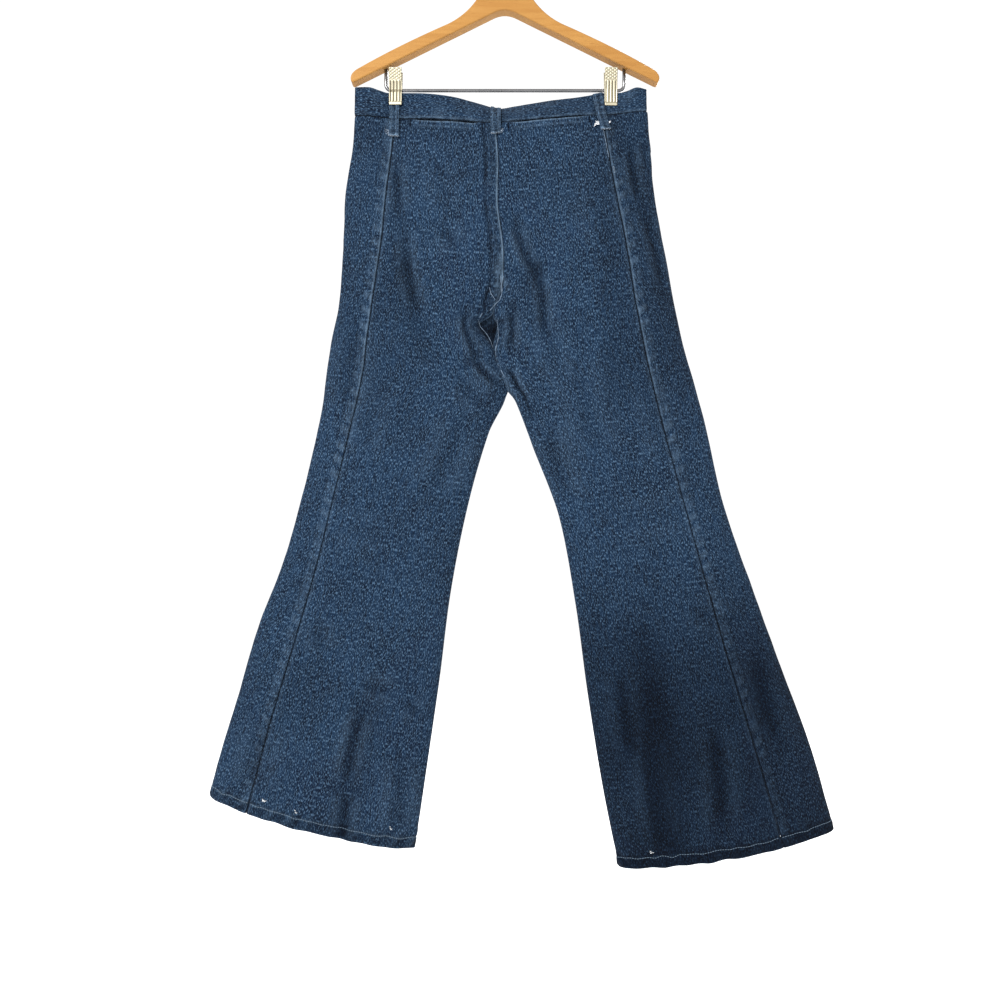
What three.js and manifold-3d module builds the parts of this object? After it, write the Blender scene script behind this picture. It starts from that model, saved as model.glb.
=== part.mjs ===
// Flared denim jeans that hang by the waist from a wooden hanger with two metal clips.
// Millimetres. X runs across the garment, Y from the back of the jeans to their front, Z up.
// The origin is the highest inside point of the hook, where the hook sits on a rail.

import * as THREE from "three";
import { mergeVertices } from "three/addons/utils/BufferGeometryUtils.js";
import Module from "manifold-3d";

const wasm = await Module();
wasm.setup();

// Cloth walls and the gaps between sewn pieces
const WALL = 1.5;
const BAND_WALL = 2.4;
const HEM_WALL = 1.2;
const OVERLAY_WALL = 1.2;
const SEAM_GAP = 0.3;

// Widths and heights of the small sewn pieces
const HEM_HEIGHT = 15;
const LOOP_WIDTH = 14;
const LOOP_WALL = 2;
const LOOP_SLACK = 3;
const LOOP_EASE = 0.5;
const LOOP_FOOT = 20;
const BUTTON_RADIUS = 8.5;
const BAND_LAP = { reach: 0.17, starts: 1.8 };

// One side of the jeans, from the waist seam (down 0) to the hem (down 1): its outer edge,
// and the share of the width that the front panel takes on the back face.
const OUTER_COLUMNS = ["down", "x", "z", "seamShare"];
const LEFT_OUTER = table(OUTER_COLUMNS, [
  [0.0, -213, -270, 0.287],
  [0.05, -216, -320, 0.271],
  [0.11, -225, -378, 0.268],
  [0.17, -228, -438, 0.244],
  [0.22, -231, -487, 0.226],
  [0.275, -236, -541, 0.225],
  [0.32, -245, -585, 0.222],
  [0.368, -251.5, -632, 0.206],
  [0.43, -259.5, -693, 0.198],
  [0.53, -282, -789, 0.196],
  [0.65, -315, -903, 0.206],
  [0.77, -355.5, -1015, 0.213],
  [0.89, -389.5, -1129, 0.198],
  [1.0, -417.5, -1234, 0.192],
]);
const RIGHT_OUTER = table(OUTER_COLUMNS, [
  [0.0, 201, -264, 0.297],
  [0.05, 206, -317, 0.28],
  [0.11, 212, -380, 0.249],
  [0.17, 221, -442, 0.234],
  [0.22, 231, -494, 0.228],
  [0.275, 243.5, -551, 0.219],
  [0.32, 253.5, -597, 0.221],
  [0.368, 266, -646, 0.236],
  [0.43, 282, -710, 0.244],
  [0.53, 307.5, -812, 0.246],
  [0.65, 347.5, -932, 0.254],
  [0.77, 391, -1051, 0.26],
  [0.89, 434.5, -1170, 0.262],
  [1.0, 466.5, -1281, 0.253],
]);

// The centre seam down to the crotch, then each leg's inner edge
const INNER_COLUMNS = ["down", "x", "z"];
const CENTRE_ROWS = [
  [0.0, -14, -286],
  [0.05, -9.5, -338],
  [0.11, -10, -402],
  [0.17, -2.5, -465],
  [0.22, -4.5, -518],
  [0.25, -15, -547],
  [0.27, -19, -568],
];
const LEFT_INNER = table(INNER_COLUMNS, [
  ...CENTRE_ROWS,
  [0.32, -13, -615],
  [0.368, 3.5, -661],
  [0.43, -22.5, -721],
  [0.53, -51.5, -822],
  [0.65, -76, -945],
  [0.77, -92, -1069],
  [0.89, -110, -1194],
  [1.0, -127, -1308],
]);
const RIGHT_INNER = table(INNER_COLUMNS, [
  ...CENTRE_ROWS,
  [0.32, -10.5, -624],
  [0.368, 12.5, -671],
  [0.43, 36.5, -733],
  [0.53, 74.5, -834],
  [0.65, 99, -961],
  [0.77, 116.5, -1090],
  [0.89, 137, -1218],
  [1.0, 160.5, -1335],
]);

// Half of the hollow's depth, the sag of a level's middle, and how far the front dips below the back
const FULLNESS = table(["down", "halfDepth", "bow", "frontDip"], [
  [0.0, 18, 0, 14],
  [0.06, 22, 0, 13],
  [0.16, 27, 0, 9],
  [0.27, 28, 0, 4],
  [0.4, 25, 0, 0],
  [0.6, 23, 2, 0],
  [0.8, 25, 5, 0],
  [1.0, 28, 8, 0],
]);
const EDGE_POWER = 2.2;
const CROTCH = { starts: 0.165, ends: 0.268 };
const LEG_INSET = 1.2;

// The waistband's top edge along X: its height above the waist seam on the back and on the front,
// its place in Y on both, and the share of the height at which that place is reached.
const BAND = table(["x", "rise", "frontRise", "backY", "frontY", "bend"], [
  [-213, 41, 41, 0, 0, 1],
  [-192, 41, 41, -4.5, 4.5, 0.8],
  [-178, 38, 38, -3.5, 3.5, 0.5],
  [-166, 35.8, 35.8, -2, 2, 0.45],
  [-144, 37.4, 37.4, -2, 2, 0.45],
  [-122, 38, 38, -5, 7, 0.8],
  [-90, 37.5, 39, -6.5, 13, 1],
  [-57, 35, 39, -1.5, 16, 1],
  [-22, 29.5, 38, 4.5, 18, 1],
  [-6, 27, 38, 5.5, 18.5, 1],
  [21, 28.5, 38, 5, 18, 1],
  [60, 30.5, 38, 4, 17, 1],
  [91, 31, 38, 2.5, 14, 1],
  [118, 31, 36, -1.5, 8, 0.8],
  [138, 32.2, 32.2, -2, 2, 0.45],
  [161, 30.2, 30.2, -2, 2, 0.45],
  [173, 31, 31, -3.5, 3.5, 0.5],
  [186, 34.5, 34.5, -4.5, 4.5, 0.8],
  [201, 32, 32, 0, 0, 1],
]);

// Where the clips pinch the two faces of the waist together
const CLIP_X = { left: -155, right: 150 };
const PINCH = { share: 0.68, reach: 32, fade: 0.07 };

// The largest folds, as soft troughs (depth above 0) or ridges (below 0) along a line on one face
const FOLD_COLUMNS = ["face", "fromX", "fromZ", "toX", "toZ", "width", "depth"];
const BACK = -1;
const FRONT = 1;
const FOLDS = records(FOLD_COLUMNS, [
  [BACK, -156, -366, -143, -488, 14, 4],
  [BACK, -143, -488, -107, -612, 15, 5],
  [BACK, 13, -423, 44, -492, 12, 5],
  [BACK, 44, -492, 52, -578, 13, 6],
  [BACK, -54, -551, -38, -614, 12, 4],
  [BACK, 10, -548, 8, -606, 9, 5],
  [BACK, 178, -318, 218, -528, 12, 4],
  [BACK, -46, -618, -8, -652, 9, 4],
  [BACK, -176, -690, -246, -980, 26, -4],
  [BACK, -194, -1104, -231, -1290, 20, 5],
  [BACK, 196, -1010, 236, -1310, 26, 5],
  [BACK, 312, -1060, 346, -1290, 20, -4],
  [FRONT, -150, -370, -112, -600, 16, 5],
  [FRONT, 118, -400, 92, -600, 16, 5],
  [FRONT, -40, -545, -92, -585, 12, 5],
  [FRONT, 16, -560, 78, -592, 12, 5],
  [FRONT, -190, -760, -258, -1190, 26, 5],
  [FRONT, 226, -820, 300, -1240, 26, 5],
]);

// Belt loops: the X of the top and of the foot, on the back or the front face
const LOOPS = records(["name", "face", "topX", "footX", "foot", "slack"], [
  ["belt_loop_back_left", BACK, -156.5, -157, 26, 0.1],
  ["belt_loop_back_centre", BACK, -13, -14, 15, 1],
  ["belt_loop_back_right", BACK, 131, 140, 21, 0.8],
  ["belt_loop_front_left", FRONT, -112, -112, LOOP_FOOT, 1],
  ["belt_loop_front_right", FRONT, 98, 98, LOOP_FOOT, 1],
]);

// Back pocket openings in the waist seam
const POCKETS = records(["name", "side", "columns"], [
  ["pocket_facing_left", "left", [3, 10]],
  ["pocket_facing_right", "right", [2, 10]],
]);

// Hanger
const WOOD = {
  halfSpan: 218, tipRound: 7, depth: 22, apexZ: -120, slope: 0.495, apexRound: 16, armHeight: 17,
  armSwell: 4, shoulderX: 80, neckHalfWidth: 13, topZ: -71, bevel: 2, holeGap: 0.3,
};
const HOOK = { wire: 2.1, innerRadius: 19, stemBends: -60, stemSinks: 14, tipAngle: 205, joinAngle: -35 };
const BAR = { radius: 2.4, z: -233.8, halfSpan: 169, corner: 8, sinks: 12 };
const CLIP = {
  width: 18, plate: 1.2, lipDrop: 22.5, lipTall: 15, handleRise: 29.5, handleOut: 9.5,
  sleeveRadius: 3.4, sleeveLength: 15, farLip: 3.6, loopedLip: 6.4,
};

// Colours
const DENIM = { color: 0x2c4260, roughness: 0.92, metalness: 0 };
const DENIM_EDGE = { color: 0x35496a, roughness: 0.9, metalness: 0 };
const POCKET_CLOTH = { color: 0x232c3a, roughness: 0.95, metalness: 0 };
const BEECH = { color: 0xdc9c58, roughness: 0.45, metalness: 0 };
const CHROME = { color: 0xc9c6bd, roughness: 0.25, metalness: 1 };
const BRASS = { color: 0xa98a50, roughness: 0.4, metalness: 1 };

function table(columns, rows) {
  return { columns, rows };
}

function records(columns, rows) {
  return rows.map((row) => Object.fromEntries(columns.map((name, index) => [name, row[index]])));
}

function clamp(value, low, high) {
  return Math.min(high, Math.max(low, value));
}

function mix(from, to, share) {
  return from + (to - from) * share;
}

function smooth(value) {
  const share = clamp(value, 0, 1);
  return share * share * (3 - 2 * share);
}

// A smooth curve through one column of a table; the first column is the place along it
function readCurve(source, columnName, at) {
  const { rows } = source;
  const column = source.columns.indexOf(columnName);
  const last = rows.length - 1;
  const place = clamp(at, rows[0][0], rows[last][0]);
  let k = 0;
  while (k < last - 1 && rows[k + 1][0] < place) k += 1;
  const slope = (index) => {
    const before = rows[Math.max(0, index - 1)];
    const after = rows[Math.min(last, index + 1)];
    return (after[column] - before[column]) / (after[0] - before[0]);
  };
  const span = rows[k + 1][0] - rows[k][0];
  const s = (place - rows[k][0]) / span;
  const s2 = s * s;
  const s3 = s2 * s;
  return (2 * s3 - 3 * s2 + 1) * rows[k][column] + (s3 - 2 * s2 + s) * span * slope(k)
    + (3 * s2 - 2 * s3) * rows[k + 1][column] + (s3 - s2) * span * slope(k + 1);
}

const SIDES = {
  left: { outer: LEFT_OUTER, inner: LEFT_INNER, turn: 1 },
  right: { outer: RIGHT_OUTER, inner: RIGHT_INNER, turn: -1 },
};

// 0 where the two legs are one hollow, 1 where each is a tube of its own
function legShare(down) {
  const s = clamp((down - CROTCH.starts) / (CROTCH.ends - CROTCH.starts), 0, 1);
  return 1 - Math.sqrt(1 - s * s);
}

function foldAt(face, x, z) {
  let sum = 0;
  for (const fold of FOLDS) {
    if (fold.face !== face) continue;
    const runX = fold.toX - fold.fromX;
    const runZ = fold.toZ - fold.fromZ;
    const length2 = runX * runX + runZ * runZ;
    const along = ((x - fold.fromX) * runX + (z - fold.fromZ) * runZ) / length2;
    const near = clamp(along, 0, 1);
    const away = Math.hypot(x - fold.fromX - runX * near, z - fold.fromZ - runZ * near);
    sum += fold.depth * Math.exp(-((away / fold.width) ** 2));
  }
  return sum;
}

// A point of the middle of the cloth. round is 0 at the centre or inner edge of the back, 1 at the
// outer edge and 2 at the centre or inner edge of the front.
function clothPoint(side, round, down) {
  const { outer, inner } = SIDES[side];
  const face = round < 1 ? BACK : FRONT;
  const open = 1 - Math.abs(round - 1);
  const across = (1 - Math.cos(Math.PI * (1 - open))) / 2;
  const share = 1 - across;
  const legs = legShare(down);
  const outerX = readCurve(outer, "x", down);
  const inset = SEAM_GAP / 2 + LEG_INSET * Math.min(1, 3 * Math.sqrt(legs));
  const innerX = readCurve(inner, "x", down) + inset * Math.sign(outerX);
  const x = mix(innerX, outerX, share);
  const edges = mix(readCurve(inner, "z", down), readCurve(outer, "z", down), share);
  const dip = face === FRONT ? readCurve(FULLNESS, "frontDip", down) * (1 - share * share) : 0;
  const z = edges - readCurve(FULLNESS, "bow", down) * 4 * share * (1 - share) - dip;
  const torso = Math.sqrt(Math.max(0, 1 - share * share));
  const leg = Math.max(0, 1 - Math.abs(2 * share - 1) ** EDGE_POWER) ** (1 / EDGE_POWER);
  const swell = mix(torso, leg, legs);
  const reach = (x - CLIP_X[side]) / PINCH.reach;
  const pinch = 1 - PINCH.share * Math.exp(-reach * reach) * Math.exp(-down / PINCH.fade);
  const depth = readCurve(FULLNESS, "halfDepth", down) * swell * pinch;
  const y = face * Math.max(0, depth - foldAt(face, x, z) * Math.min(1, swell * swell));
  return new THREE.Vector3(x, y, z);
}

function lengthOf(side) {
  const top = clothPoint(side, 1, 0);
  const hem = clothPoint(side, 1, 1);
  return top.distanceTo(hem);
}

function seamRound(side, down) {
  const share = readCurve(SIDES[side].outer, "seamShare", down);
  return 1 - Math.acos(1 - 2 * share) / Math.PI;
}

// round of the point of a face at X on the waist seam
function roundAtX(side, face, x) {
  const innerX = readCurve(SIDES[side].inner, "x", 0);
  const outerX = readCurve(SIDES[side].outer, "x", 0);
  const share = clamp((x - innerX) / (outerX - innerX), 0, 1);
  const open = Math.acos(2 * share - 1) / Math.PI;
  return face === BACK ? 1 - open : 1 + open;
}

// A point of the middle of the waistband. up is 0 at the waist seam and 1 at the top edge.
function bandPoint(side, round, up) {
  const foot = clothPoint(side, round, 0);
  const face = round < 1 ? BACK : FRONT;
  const rise = readCurve(BAND, face === BACK ? "rise" : "frontRise", foot.x);
  const topY = readCurve(BAND, face === BACK ? "backY" : "frontY", foot.x);
  const bend = readCurve(BAND, "bend", foot.x);
  const share = Math.min(1, up / bend) ** 1.6;
  const lift = SEAM_GAP / 2 + up * (rise - SEAM_GAP / 2);
  return new THREE.Vector3(foot.x, mix(foot.y, topY, share), foot.z + lift);
}

function stops(from, to, count) {
  return Array.from({ length: count + 1 }, (_, index) => mix(from, to, index / count));
}

function meshFrom(vertices, triangles) {
  const geometry = new THREE.BufferGeometry();
  geometry.setAttribute("position", new THREE.Float32BufferAttribute(vertices.flat(), 3));
  let volume = 0;
  for (const [a, b, c] of triangles) {
    const [p, q, r] = [vertices[a], vertices[b], vertices[c]];
    volume += p[0] * (q[1] * r[2] - q[2] * r[1]) - p[1] * (q[0] * r[2] - q[2] * r[0])
      + p[2] * (q[0] * r[1] - q[1] * r[0]);
  }
  const outward = volume > 0 ? triangles : triangles.map(([a, b, c]) => [a, c, b]);
  geometry.setIndex(outward.flat());
  geometry.computeVertexNormals();
  return geometry;
}

// A closed wall of cloth. place(u, v) gives its middle; from and to are its two faces, measured
// along the outward direction, which is the cross product of u and v times turn.
function clothWall(place, us, vs, { from, to, turn = 1, ring = false }) {
  const step = 1e-3;
  const spanU = us[us.length - 1] - us[0];
  const spanV = vs[vs.length - 1] - vs[0];
  const outwardAt = (u, v) => {
    const lowU = ring ? u - step * spanU : Math.max(us[0], u - step * spanU);
    const highU = ring ? u + step * spanU : Math.min(us[us.length - 1], u + step * spanU);
    const lowV = Math.max(vs[0], v - step * spanV);
    const highV = Math.min(vs[vs.length - 1], v + step * spanV);
    const alongU = place(highU, v).sub(place(lowU, v));
    const alongV = place(u, highV).sub(place(u, lowV));
    return alongU.cross(alongV).normalize().multiplyScalar(turn);
  };
  const columns = ring ? us.length - 1 : us.length;
  const vertices = [];
  for (const offset of [from, to]) {
    for (const v of vs) {
      for (let i = 0; i < columns; i += 1) {
        const point = place(us[i], v).addScaledVector(outwardAt(us[i], v), offset);
        vertices.push(point.toArray());
      }
    }
  }
  const layer = columns * vs.length;
  const at = (side, i, j) => side * layer + j * columns + (i % columns);
  const triangles = [];
  const quad = (a, b, c, d) => triangles.push([a, b, c], [a, c, d]);
  const cells = us.length - 1;
  for (let j = 0; j < vs.length - 1; j += 1) {
    for (let i = 0; i < cells; i += 1) {
      quad(at(0, i, j), at(0, i + 1, j), at(0, i + 1, j + 1), at(0, i, j + 1));
      quad(at(1, i, j), at(1, i, j + 1), at(1, i + 1, j + 1), at(1, i + 1, j));
    }
    if (ring) continue;
    quad(at(0, 0, j), at(0, 0, j + 1), at(1, 0, j + 1), at(1, 0, j));
    quad(at(0, cells, j), at(1, cells, j), at(1, cells, j + 1), at(0, cells, j + 1));
  }
  const bottom = vs.length - 1;
  for (let i = 0; i < cells; i += 1) {
    quad(at(0, i, 0), at(1, i, 0), at(1, i + 1, 0), at(0, i + 1, 0));
    quad(at(0, i, bottom), at(0, i + 1, bottom), at(1, i + 1, bottom), at(1, i, bottom));
  }
  return meshFrom(vertices, triangles);
}

// A round wire along points, with flat ends
function wire(points, radius, sides) {
  const vertices = [];
  const up = new THREE.Vector3(0, 1, 0);
  points.forEach((point, index) => {
    const before = points[Math.max(0, index - 1)];
    const after = points[Math.min(points.length - 1, index + 1)];
    const along = after.clone().sub(before).normalize();
    const across = along.clone().cross(up).normalize();
    for (let k = 0; k < sides; k += 1) {
      const angle = (2 * Math.PI * k) / sides;
      const corner = point.clone().addScaledVector(across, radius * Math.cos(angle));
      vertices.push(corner.addScaledVector(up, radius * Math.sin(angle)).toArray());
    }
  });
  const triangles = [];
  const last = (points.length - 1) * sides;
  for (let index = 0; index < points.length - 1; index += 1) {
    for (let k = 0; k < sides; k += 1) {
      const next = (k + 1) % sides;
      const a = index * sides;
      triangles.push([a + k, a + next, a + sides + next], [a + k, a + sides + next, a + sides + k]);
    }
  }
  for (let k = 1; k < sides - 1; k += 1) {
    triangles.push([0, k + 1, k], [last, last + k, last + k + 1]);
  }
  return meshFrom(vertices, triangles);
}

function asSolid(geometry) {
  const bare = geometry.clone();
  for (const name of Object.keys(bare.attributes)) {
    if (name !== "position") bare.deleteAttribute(name);
  }
  const merged = mergeVertices(bare, 1e-4);
  return new wasm.Manifold(new wasm.Mesh({
    numProp: 3,
    vertProperties: new Float32Array(merged.attributes.position.array),
    triVerts: new Uint32Array(merged.index.array),
  }));
}

function fromSolid(solid) {
  const mesh = solid.getMesh();
  const geometry = new THREE.BufferGeometry();
  geometry.setAttribute("position", new THREE.BufferAttribute(new Float32Array(mesh.vertProperties), 3));
  geometry.setIndex(new THREE.BufferAttribute(new Uint32Array(mesh.triVerts), 1));
  geometry.computeVertexNormals();
  return geometry;
}

function piece(name, geometry, finish) {
  const mesh = new THREE.Mesh(geometry, new THREE.MeshStandardMaterial(finish));
  mesh.name = name;
  return mesh;
}

// Levels down the panels: closer together round the crotch, and one at the top of the hem
function panelLevels(side) {
  const length = lengthOf(side);
  const edge = SEAM_GAP / 2 / length;
  return [
    ...stops(edge, 0.165, 5).slice(0, -1),
    ...stops(0.165, 0.285, 7).slice(0, -1),
    ...stops(0.285, 1 - HEM_HEIGHT / length, 16),
    1 - edge,
  ];
}

const INNER_ROUND = 0.003;
const SEAM_ROUND = 0.0008;
const FRONT_SPLITS = 13;
const BACK_COLUMNS = stops(0, 1, 10);
const FRONT_COLUMNS = [...stops(1, 2, 4), ...stops(2, 3, FRONT_SPLITS).slice(1)];
const FLY_SPLITS = 4;
const FLY_LEVELS = 6;

// A point of the panels: across runs over the back panel from 0 to 1, then over the front panel,
// from 1 at the side seam and 2 at the outer edge to 3 at the inner edge.
function panelPoint(side, across, down, onFront) {
  const seam = seamRound(side, down);
  if (!onFront) return clothPoint(side, mix(INNER_ROUND, seam - SEAM_ROUND, across), down);
  const round = across < 2 ? mix(seam + SEAM_ROUND, 1, across - 1) : mix(1, 2 - INNER_ROUND, across - 2);
  return clothPoint(side, round, down);
}

function panel(name, side, onFront) {
  const place = (across, down) => panelPoint(side, across, down, onFront);
  const columns = onFront ? FRONT_COLUMNS : BACK_COLUMNS;
  const shape = clothWall(place, columns, panelLevels(side), {
    from: -WALL / 2, to: WALL / 2, turn: SIDES[side].turn,
  });
  return piece(`${name}_${side}`, shape, DENIM);
}

// The hem's turned-up layer, a ring just inside the leg's end
function hem(side) {
  const inside = -(WALL / 2 + SEAM_GAP);
  const place = (across, down) => {
    const wrapped = ((across % 3) + 3) % 3;
    return panelPoint(side, wrapped, down, wrapped > 1);
  };
  const columns = [...BACK_COLUMNS, ...FRONT_COLUMNS.slice(1)];
  const shape = clothWall(place, columns, panelLevels(side).slice(-2), {
    from: inside - HEM_WALL, to: inside, turn: SIDES[side].turn, ring: true,
  });
  return piece(`hem_${side}`, shape, DENIM_EDGE);
}

// The band is one strip from the right end under the fly's top, round the back, to the left end
// that laps over it. turn runs from -2 (centre front, left side) over 0 (centre back) to 2.
function bandRound(turn) {
  if (turn < -2) return { side: "right", round: 4 + turn };
  return turn < 0 ? { side: "left", round: -turn } : { side: "right", round: turn };
}

// Columns of the band over one face of one side, as shares of the width: the edges of each belt
// loop and clip, and plain columns that keep clear of them.
function bandShares(side, face) {
  const plain = [0, 0.12, 0.25, 0.38, 0.5, 0.6, 0.69, 0.78, 0.87, 0.95, 0.988, 1];
  const innerX = readCurve(SIDES[side].inner, "x", 0);
  const outerX = readCurve(SIDES[side].outer, "x", 0);
  const clipReach = CLIP.width / 2 + 1;
  const clipEdges = [CLIP_X[side] - clipReach, CLIP_X[side] + clipReach];
  const loopEdges = LOOPS.filter((loop) => loop.face === face)
    .flatMap((loop) => [loop.topX - LOOP_WIDTH / 2, loop.footX + LOOP_WIDTH / 2]);
  const edges = [...clipEdges, ...loopEdges]
    .map((x) => (x - innerX) / (outerX - innerX))
    .filter((share) => share > 0 && share < 1);
  const clear = plain.filter((share) => edges.every((edge) => Math.abs(edge - share) > 0.03));
  return [...new Set([0, ...clear, ...edges, 1])].sort((a, b) => a - b);
}

const BAND_UPS = [0, 0.28, 0.48, 0.74, 1];

function waistband() {
  const toRound = (share) => 1 - Math.acos(2 * share - 1) / Math.PI;
  const turnsOf = (side) => [
    ...bandShares(side, BACK).map(toRound),
    ...bandShares(side, FRONT).map((share) => 2 - toRound(share)).reverse().slice(1),
  ];
  const lap = stops(-2 - BAND_LAP.reach, -2, 2).slice(0, -1);
  const left = turnsOf("left").map((round) => -round).reverse();
  const turns = [...lap, ...left, ...turnsOf("right").slice(1, -1), 2 - INNER_ROUND];
  const place = (turn, up) => {
    const { side, round } = bandRound(turn);
    const lapped = smooth((-turn - BAND_LAP.starts) / BAND_LAP.reach) * (BAND_WALL + SEAM_GAP);
    const point = bandPoint(side, round, up);
    point.y += lapped;
    return point;
  };
  const shape = clothWall(place, turns, BAND_UPS, { from: -BAND_WALL / 2, to: BAND_WALL / 2 });
  return piece("waistband", shape, DENIM);
}

// A belt loop runs down the band's outside and ends on the panel below it
function beltLoop({ name, face, topX, footX, foot, slack }) {
  const onBand = BAND_WALL / 2 + SEAM_GAP + LOOP_WALL / 2;
  const place = (aside, drop) => {
    const x = mix(topX, footX, (drop + 1) / 2) + aside;
    const side = x < readCurve(SIDES.left.inner, "x", 0) ? "left" : "right";
    const round = roundAtX(side, face, x);
    const base = drop < 0
      ? bandPoint(side, round, -drop)
      : clothPoint(side, round, (drop * foot) / lengthOf(side));
    const bulge = slack * LOOP_SLACK * Math.sin((Math.PI * (drop + 1)) / 2) ** 2;
    const low = bandPoint(side, round, clamp(-drop, 0, 0.9));
    const leaning = bandPoint(side, round, clamp(-drop, 0, 0.9) + 0.1).sub(low);
    const tilt = drop < 0 ? leaning.length() / leaning.z : 1;
    base.y += face * ((onBand + LOOP_EASE) * tilt + bulge);
    return base;
  };
  const drops = [-1, -0.86, -0.74, -0.48, -0.28, 0, 0.4, 0.7, 1];
  const shape = clothWall(place, [-LOOP_WIDTH / 2, LOOP_WIDTH / 2], drops, {
    from: -LOOP_WALL / 2, to: LOOP_WALL / 2, turn: face === BACK ? -1 : 1,
  });
  return piece(name, shape, DENIM_EDGE);
}

// The strip of cloth that closes a back pocket opening from inside
function pocketFacing({ name, side, columns }) {
  const inside = -(WALL / 2 + SEAM_GAP);
  const place = (across, down) => panelPoint(side, across, down, false);
  const shape = clothWall(place, BACK_COLUMNS.slice(...columns), panelLevels(side).slice(0, 2), {
    from: inside - OVERLAY_WALL, to: inside, turn: SIDES[side].turn,
  });
  return piece(name, shape, POCKET_CLOTH);
}

// The fly's doubled flap on the left front
function flyFlap() {
  const outside = WALL / 2 + SEAM_GAP;
  const place = (across, down) => panelPoint("left", across, down, true);
  const columns = FRONT_COLUMNS.slice(-1 - FLY_SPLITS);
  const shape = clothWall(place, columns, panelLevels("left").slice(0, FLY_LEVELS), {
    from: outside, to: outside + OVERLAY_WALL, turn: 1,
  });
  return piece("fly_flap", shape, DENIM);
}

// The tape of the closed zip behind the fly, across the centre front
function flyZip() {
  const inside = -(WALL / 2 + SEAM_GAP);
  const place = (aside, down) => {
    const side = aside < 0 ? "left" : "right";
    return panelPoint(side, 3 - Math.abs(aside), down, true);
  };
  const column = 1 / FRONT_SPLITS;
  const [top, ...lower] = panelLevels("left").slice(0, FLY_LEVELS);
  const levels = [top + 1 / lengthOf("left"), ...lower];
  const shape = clothWall(place, [-2 * column, -column, column, 2 * column], levels, {
    from: inside - OVERLAY_WALL, to: inside,
  });
  return piece("fly_zip", shape, BRASS);
}

function waistButton() {
  const spot = bandPoint("left", 1.985, 0.55);
  const outside = BAND_WALL * 1.5 + SEAM_GAP * 2;
  const profile = [
    [0, 0], [4, 0], [4, 1.6], [BUTTON_RADIUS - 1, 1.6], [BUTTON_RADIUS, 2.2], [BUTTON_RADIUS, 3.4],
    [BUTTON_RADIUS - 1, 4.2], [BUTTON_RADIUS - 3, 3.9], [0, 3.9],
  ].map(([r, h]) => new THREE.Vector2(r, h));
  const mesh = piece("waist_button", new THREE.LatheGeometry(profile, 24), BRASS);
  mesh.position.set(spot.x, spot.y + outside, spot.z);
  return mesh;
}

// Outline of the wooden hanger in X and Z
function woodOutline() {
  const { halfSpan, tipRound, armHeight, armSwell, shoulderX } = WOOD;
  const { apexZ, apexRound, slope, neckHalfWidth, topZ } = WOOD;
  const lower = (x) => apexZ - slope * x;
  const shape = new THREE.Shape();
  shape.moveTo(apexRound, lower(apexRound));
  shape.lineTo(halfSpan - tipRound, lower(halfSpan - tipRound));
  shape.quadraticCurveTo(halfSpan, lower(halfSpan), halfSpan, lower(halfSpan) + armHeight / 2);
  const tipTop = new THREE.Vector2(halfSpan - 2 * tipRound, lower(halfSpan - 2 * tipRound) + armHeight);
  shape.quadraticCurveTo(halfSpan, lower(halfSpan) + armHeight, tipTop.x, tipTop.y);
  const middleX = (halfSpan + shoulderX) / 2;
  const swellZ = lower(middleX) + armHeight + armSwell;
  shape.quadraticCurveTo(middleX, swellZ, shoulderX, lower(shoulderX) + armHeight);
  const rising = new THREE.Vector2(shoulderX * 0.42, mix(apexZ, topZ, 0.45));
  const hollowX = shoulderX * 0.62;
  shape.quadraticCurveTo(hollowX, lower(hollowX) + armHeight, rising.x, rising.y);
  shape.quadraticCurveTo(neckHalfWidth + 4, topZ, neckHalfWidth - 4, topZ);
  shape.lineTo(0, topZ);
  return shape;
}

function wood() {
  const half = woodOutline();
  const points = half.getPoints(4);
  const mirrored = points.slice(0, -1).reverse().map((point) => new THREE.Vector2(-point.x, point.y));
  const outline = new THREE.Shape([...points, ...mirrored, new THREE.Vector2(0, WOOD.apexZ - 4)]);
  const body = new THREE.ExtrudeGeometry(outline, {
    depth: WOOD.depth - 2 * WOOD.bevel, bevelEnabled: true, bevelThickness: WOOD.bevel,
    bevelSize: WOOD.bevel, bevelOffset: -WOOD.bevel, bevelSegments: 2,
  });
  body.translate(0, 0, WOOD.bevel - WOOD.depth / 2).rotateX(Math.PI / 2);
  let solid = asSolid(body);
  const drill = (x, z, radius, depth) => {
    const hole = new THREE.CylinderGeometry(radius, radius, depth, 16);
    solid = solid.subtract(asSolid(hole.rotateX(Math.PI / 2).translate(x, 0, z)));
  };
  drill(0, WOOD.topZ, HOOK.wire + WOOD.holeGap, 2 * (HOOK.stemSinks + 1));
  for (const x of [-BAR.halfSpan, BAR.halfSpan]) {
    drill(x, WOOD.apexZ - WOOD.slope * BAR.halfSpan, BAR.radius + WOOD.holeGap, 2 * (BAR.sinks + 1));
  }
  return piece("hanger_wood", fromSolid(solid), BEECH);
}

function arc(centreX, centreZ, radius, fromDegrees, toDegrees, count) {
  return stops(fromDegrees, toDegrees, count).map((degrees) => {
    const angle = THREE.MathUtils.degToRad(degrees);
    return new THREE.Vector3(centreX + radius * Math.cos(angle), 0, centreZ + radius * Math.sin(angle));
  });
}

function hook() {
  const radius = HOOK.innerRadius + HOOK.wire;
  const centreZ = -HOOK.innerRadius;
  const ring = arc(0, centreZ, radius, HOOK.joinAngle, HOOK.tipAngle, 20);
  const bend = new THREE.QuadraticBezierCurve3(
    new THREE.Vector3(0, 0, HOOK.stemBends),
    new THREE.Vector3(0, 0, -44),
    ring[0],
  ).getPoints(5);
  const stem = new THREE.Vector3(0, 0, WOOD.topZ - HOOK.stemSinks);
  return piece("hanger_hook", wire([stem, ...bend.slice(0, -1), ...ring], HOOK.wire, 10), CHROME);
}

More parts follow.
